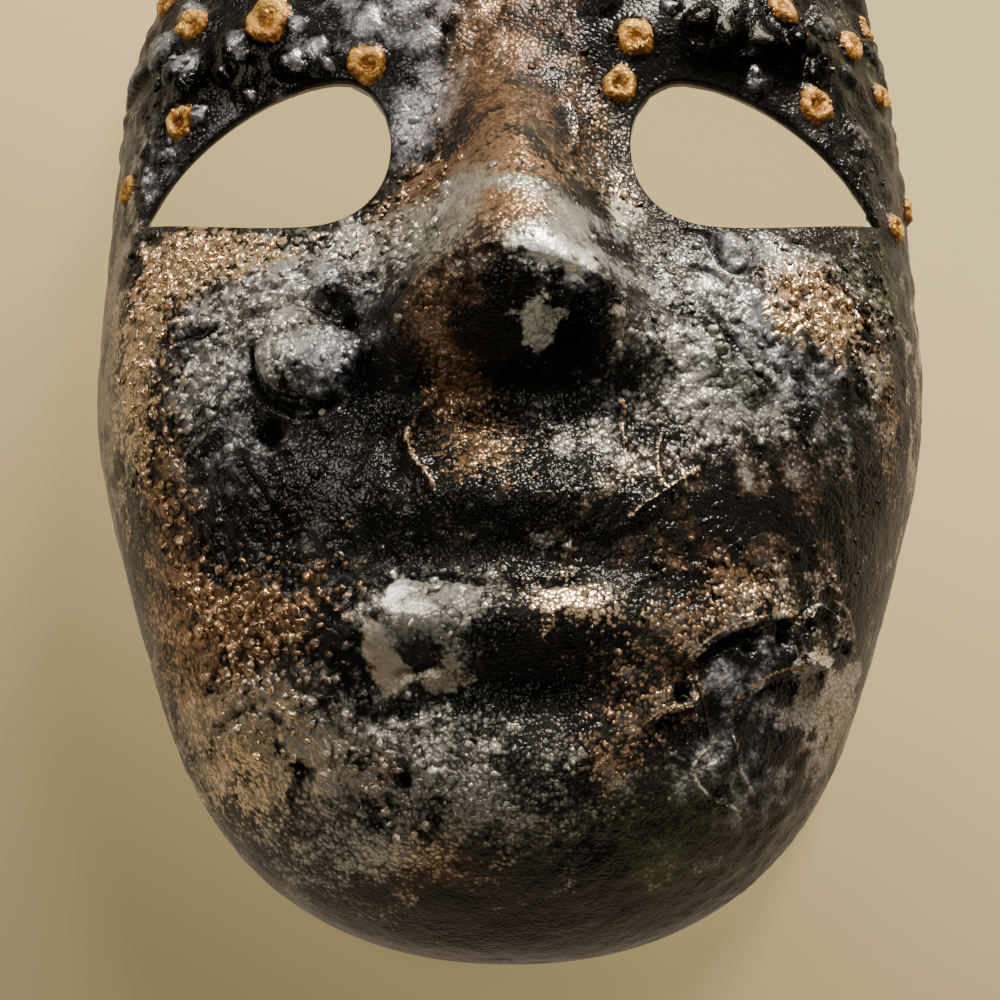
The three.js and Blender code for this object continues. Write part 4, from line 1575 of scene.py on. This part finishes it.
def soft_light(name, place, size, power):
    light = bpy.data.lights.new(name, "AREA")
    light.color = LIGHT_COLOUR
    light.size = size
    light.energy = power
    made = bpy.data.objects.new(name, light)
    made.location = place
    made.rotation_euler = (Vector(place) - Vector(LIGHT_AIM)).to_track_quat("Z", "Y").to_euler()
    bpy.context.scene.collection.objects.link(made)


def floor_material(stage):
    """Pale paper, dimmer towards the chin. Its glow is warmer to the camera than in what it gives back."""
    material, wires, surface = new_material("floor_paper")
    place = wires.value("ShaderNodeTexCoord", output="Object")
    matte, cloudy, dim = (opaque(stage.floor, shares) for shares in (FLOOR_MATTE, FLOOR_CLOUDY, FLOOR_DIM))
    wires.feed(surface["Base Color"], wires.tint(wires.noise(place, 6.0, 3.0, 0.5), matte, cloudy))
    surface["Roughness"].default_value = 0.85
    across, along, _ = wires.values("ShaderNodeSeparateXYZ", {0: place}).values()
    glow = wires.tint(wires.span(along + across * 0.55, -0.2, 0.08), dim, opaque(stage.floor))
    seen = wires.value("ShaderNodeLightPath", output="Is Camera Ray")
    wires.feed(surface["Emission Color"], wires.tint(seen, opaque(stage.bounce), glow))
    surface["Emission Strength"].default_value = FLOOR_GLOW
    return material


class FACEMASK_OT_stage(Operator):
    """Make the floor, the lights and the camera"""

    bl_idname = "facemask.stage"
    bl_label = "Stage"

    def execute(self, context):
        scene = context.scene
        stage = scene.mask_stage
        corners = np.array([(-2, -2, 0), (2, -2, 0), (2, 2, 0), (-2, 2, 0)], float)
        floor = to_object("floor", corners, np.array([(0, 1, 2, 3)]))
        floor.data.materials.append(floor_material(stage))

        soft_light("key_light", (0.42, 0.82, 0.76), 0.32, stage.key_power)
        soft_light("side_light", (-0.6, 0.2, 0.7), 0.3, stage.side_power)
        soft_light("front_light", (0.0, -0.66, 1.0), 0.3, stage.front_power)
        world = bpy.data.worlds.new("studio")
        world.use_nodes = True
        background = world.node_tree.nodes["Background"]
        background.inputs[0].default_value = (0.5, 0.5, 0.5, 1.0)
        background.inputs[1].default_value = 0.05
        scene.world = world

        camera = bpy.data.objects.new("camera", bpy.data.cameras.new("camera"))
        back = Vector((0, -math.sin(stage.tilt), math.cos(stage.tilt)))
        camera.location = Vector(CAMERA_AIM) + back * stage.distance
        camera.rotation_euler = back.to_track_quat("Z", "Y").to_euler()
        camera.data.sensor_width = SENSOR_WIDTH
        camera.data.lens = LENS
        camera.data.clip_start = 0.01
        scene.collection.objects.link(camera)
        scene.camera = camera
        return {"FINISHED"}


class FACEMASK_PT_panel(Panel):
    bl_label = "Face mask"
    bl_space_type = "VIEW_3D"
    bl_region_type = "UI"
    bl_category = "Mask"

    def draw(self, context):
        for operator in OPERATORS:
            self.layout.operator(operator.bl_idname)
        for _, pointer in SETTINGS:
            settings = getattr(context.scene, pointer)
            for name in settings.__annotations__:
                self.layout.prop(settings, name)


OPERATORS = (FACEMASK_OT_stage, FACEMASK_OT_shell, FACEMASK_OT_grains)
SETTINGS = (
    (ShellSettings, "mask_shell_settings"),
    (CrustSettings, "mask_crust"),
    (PaintSettings, "mask_paint"),
    (StageSettings, "mask_stage"),
)


def register():
    for group, pointer in SETTINGS:
        bpy.utils.register_class(group)
        setattr(bpy.types.Scene, pointer, PointerProperty(type=group))
    for made in (*OPERATORS, FACEMASK_PT_panel):
        bpy.utils.register_class(made)


def unregister():
    for made in reversed((*OPERATORS, FACEMASK_PT_panel)):
        bpy.utils.unregister_class(made)
    for group, pointer in reversed(SETTINGS):
        delattr(bpy.types.Scene, pointer)
        bpy.utils.unregister_class(group)


def main():
    register()
    bpy.ops.facemask.stage()
    bpy.ops.facemask.shell()
    bpy.ops.facemask.grains()


if __name__ == "__main__":
    main()
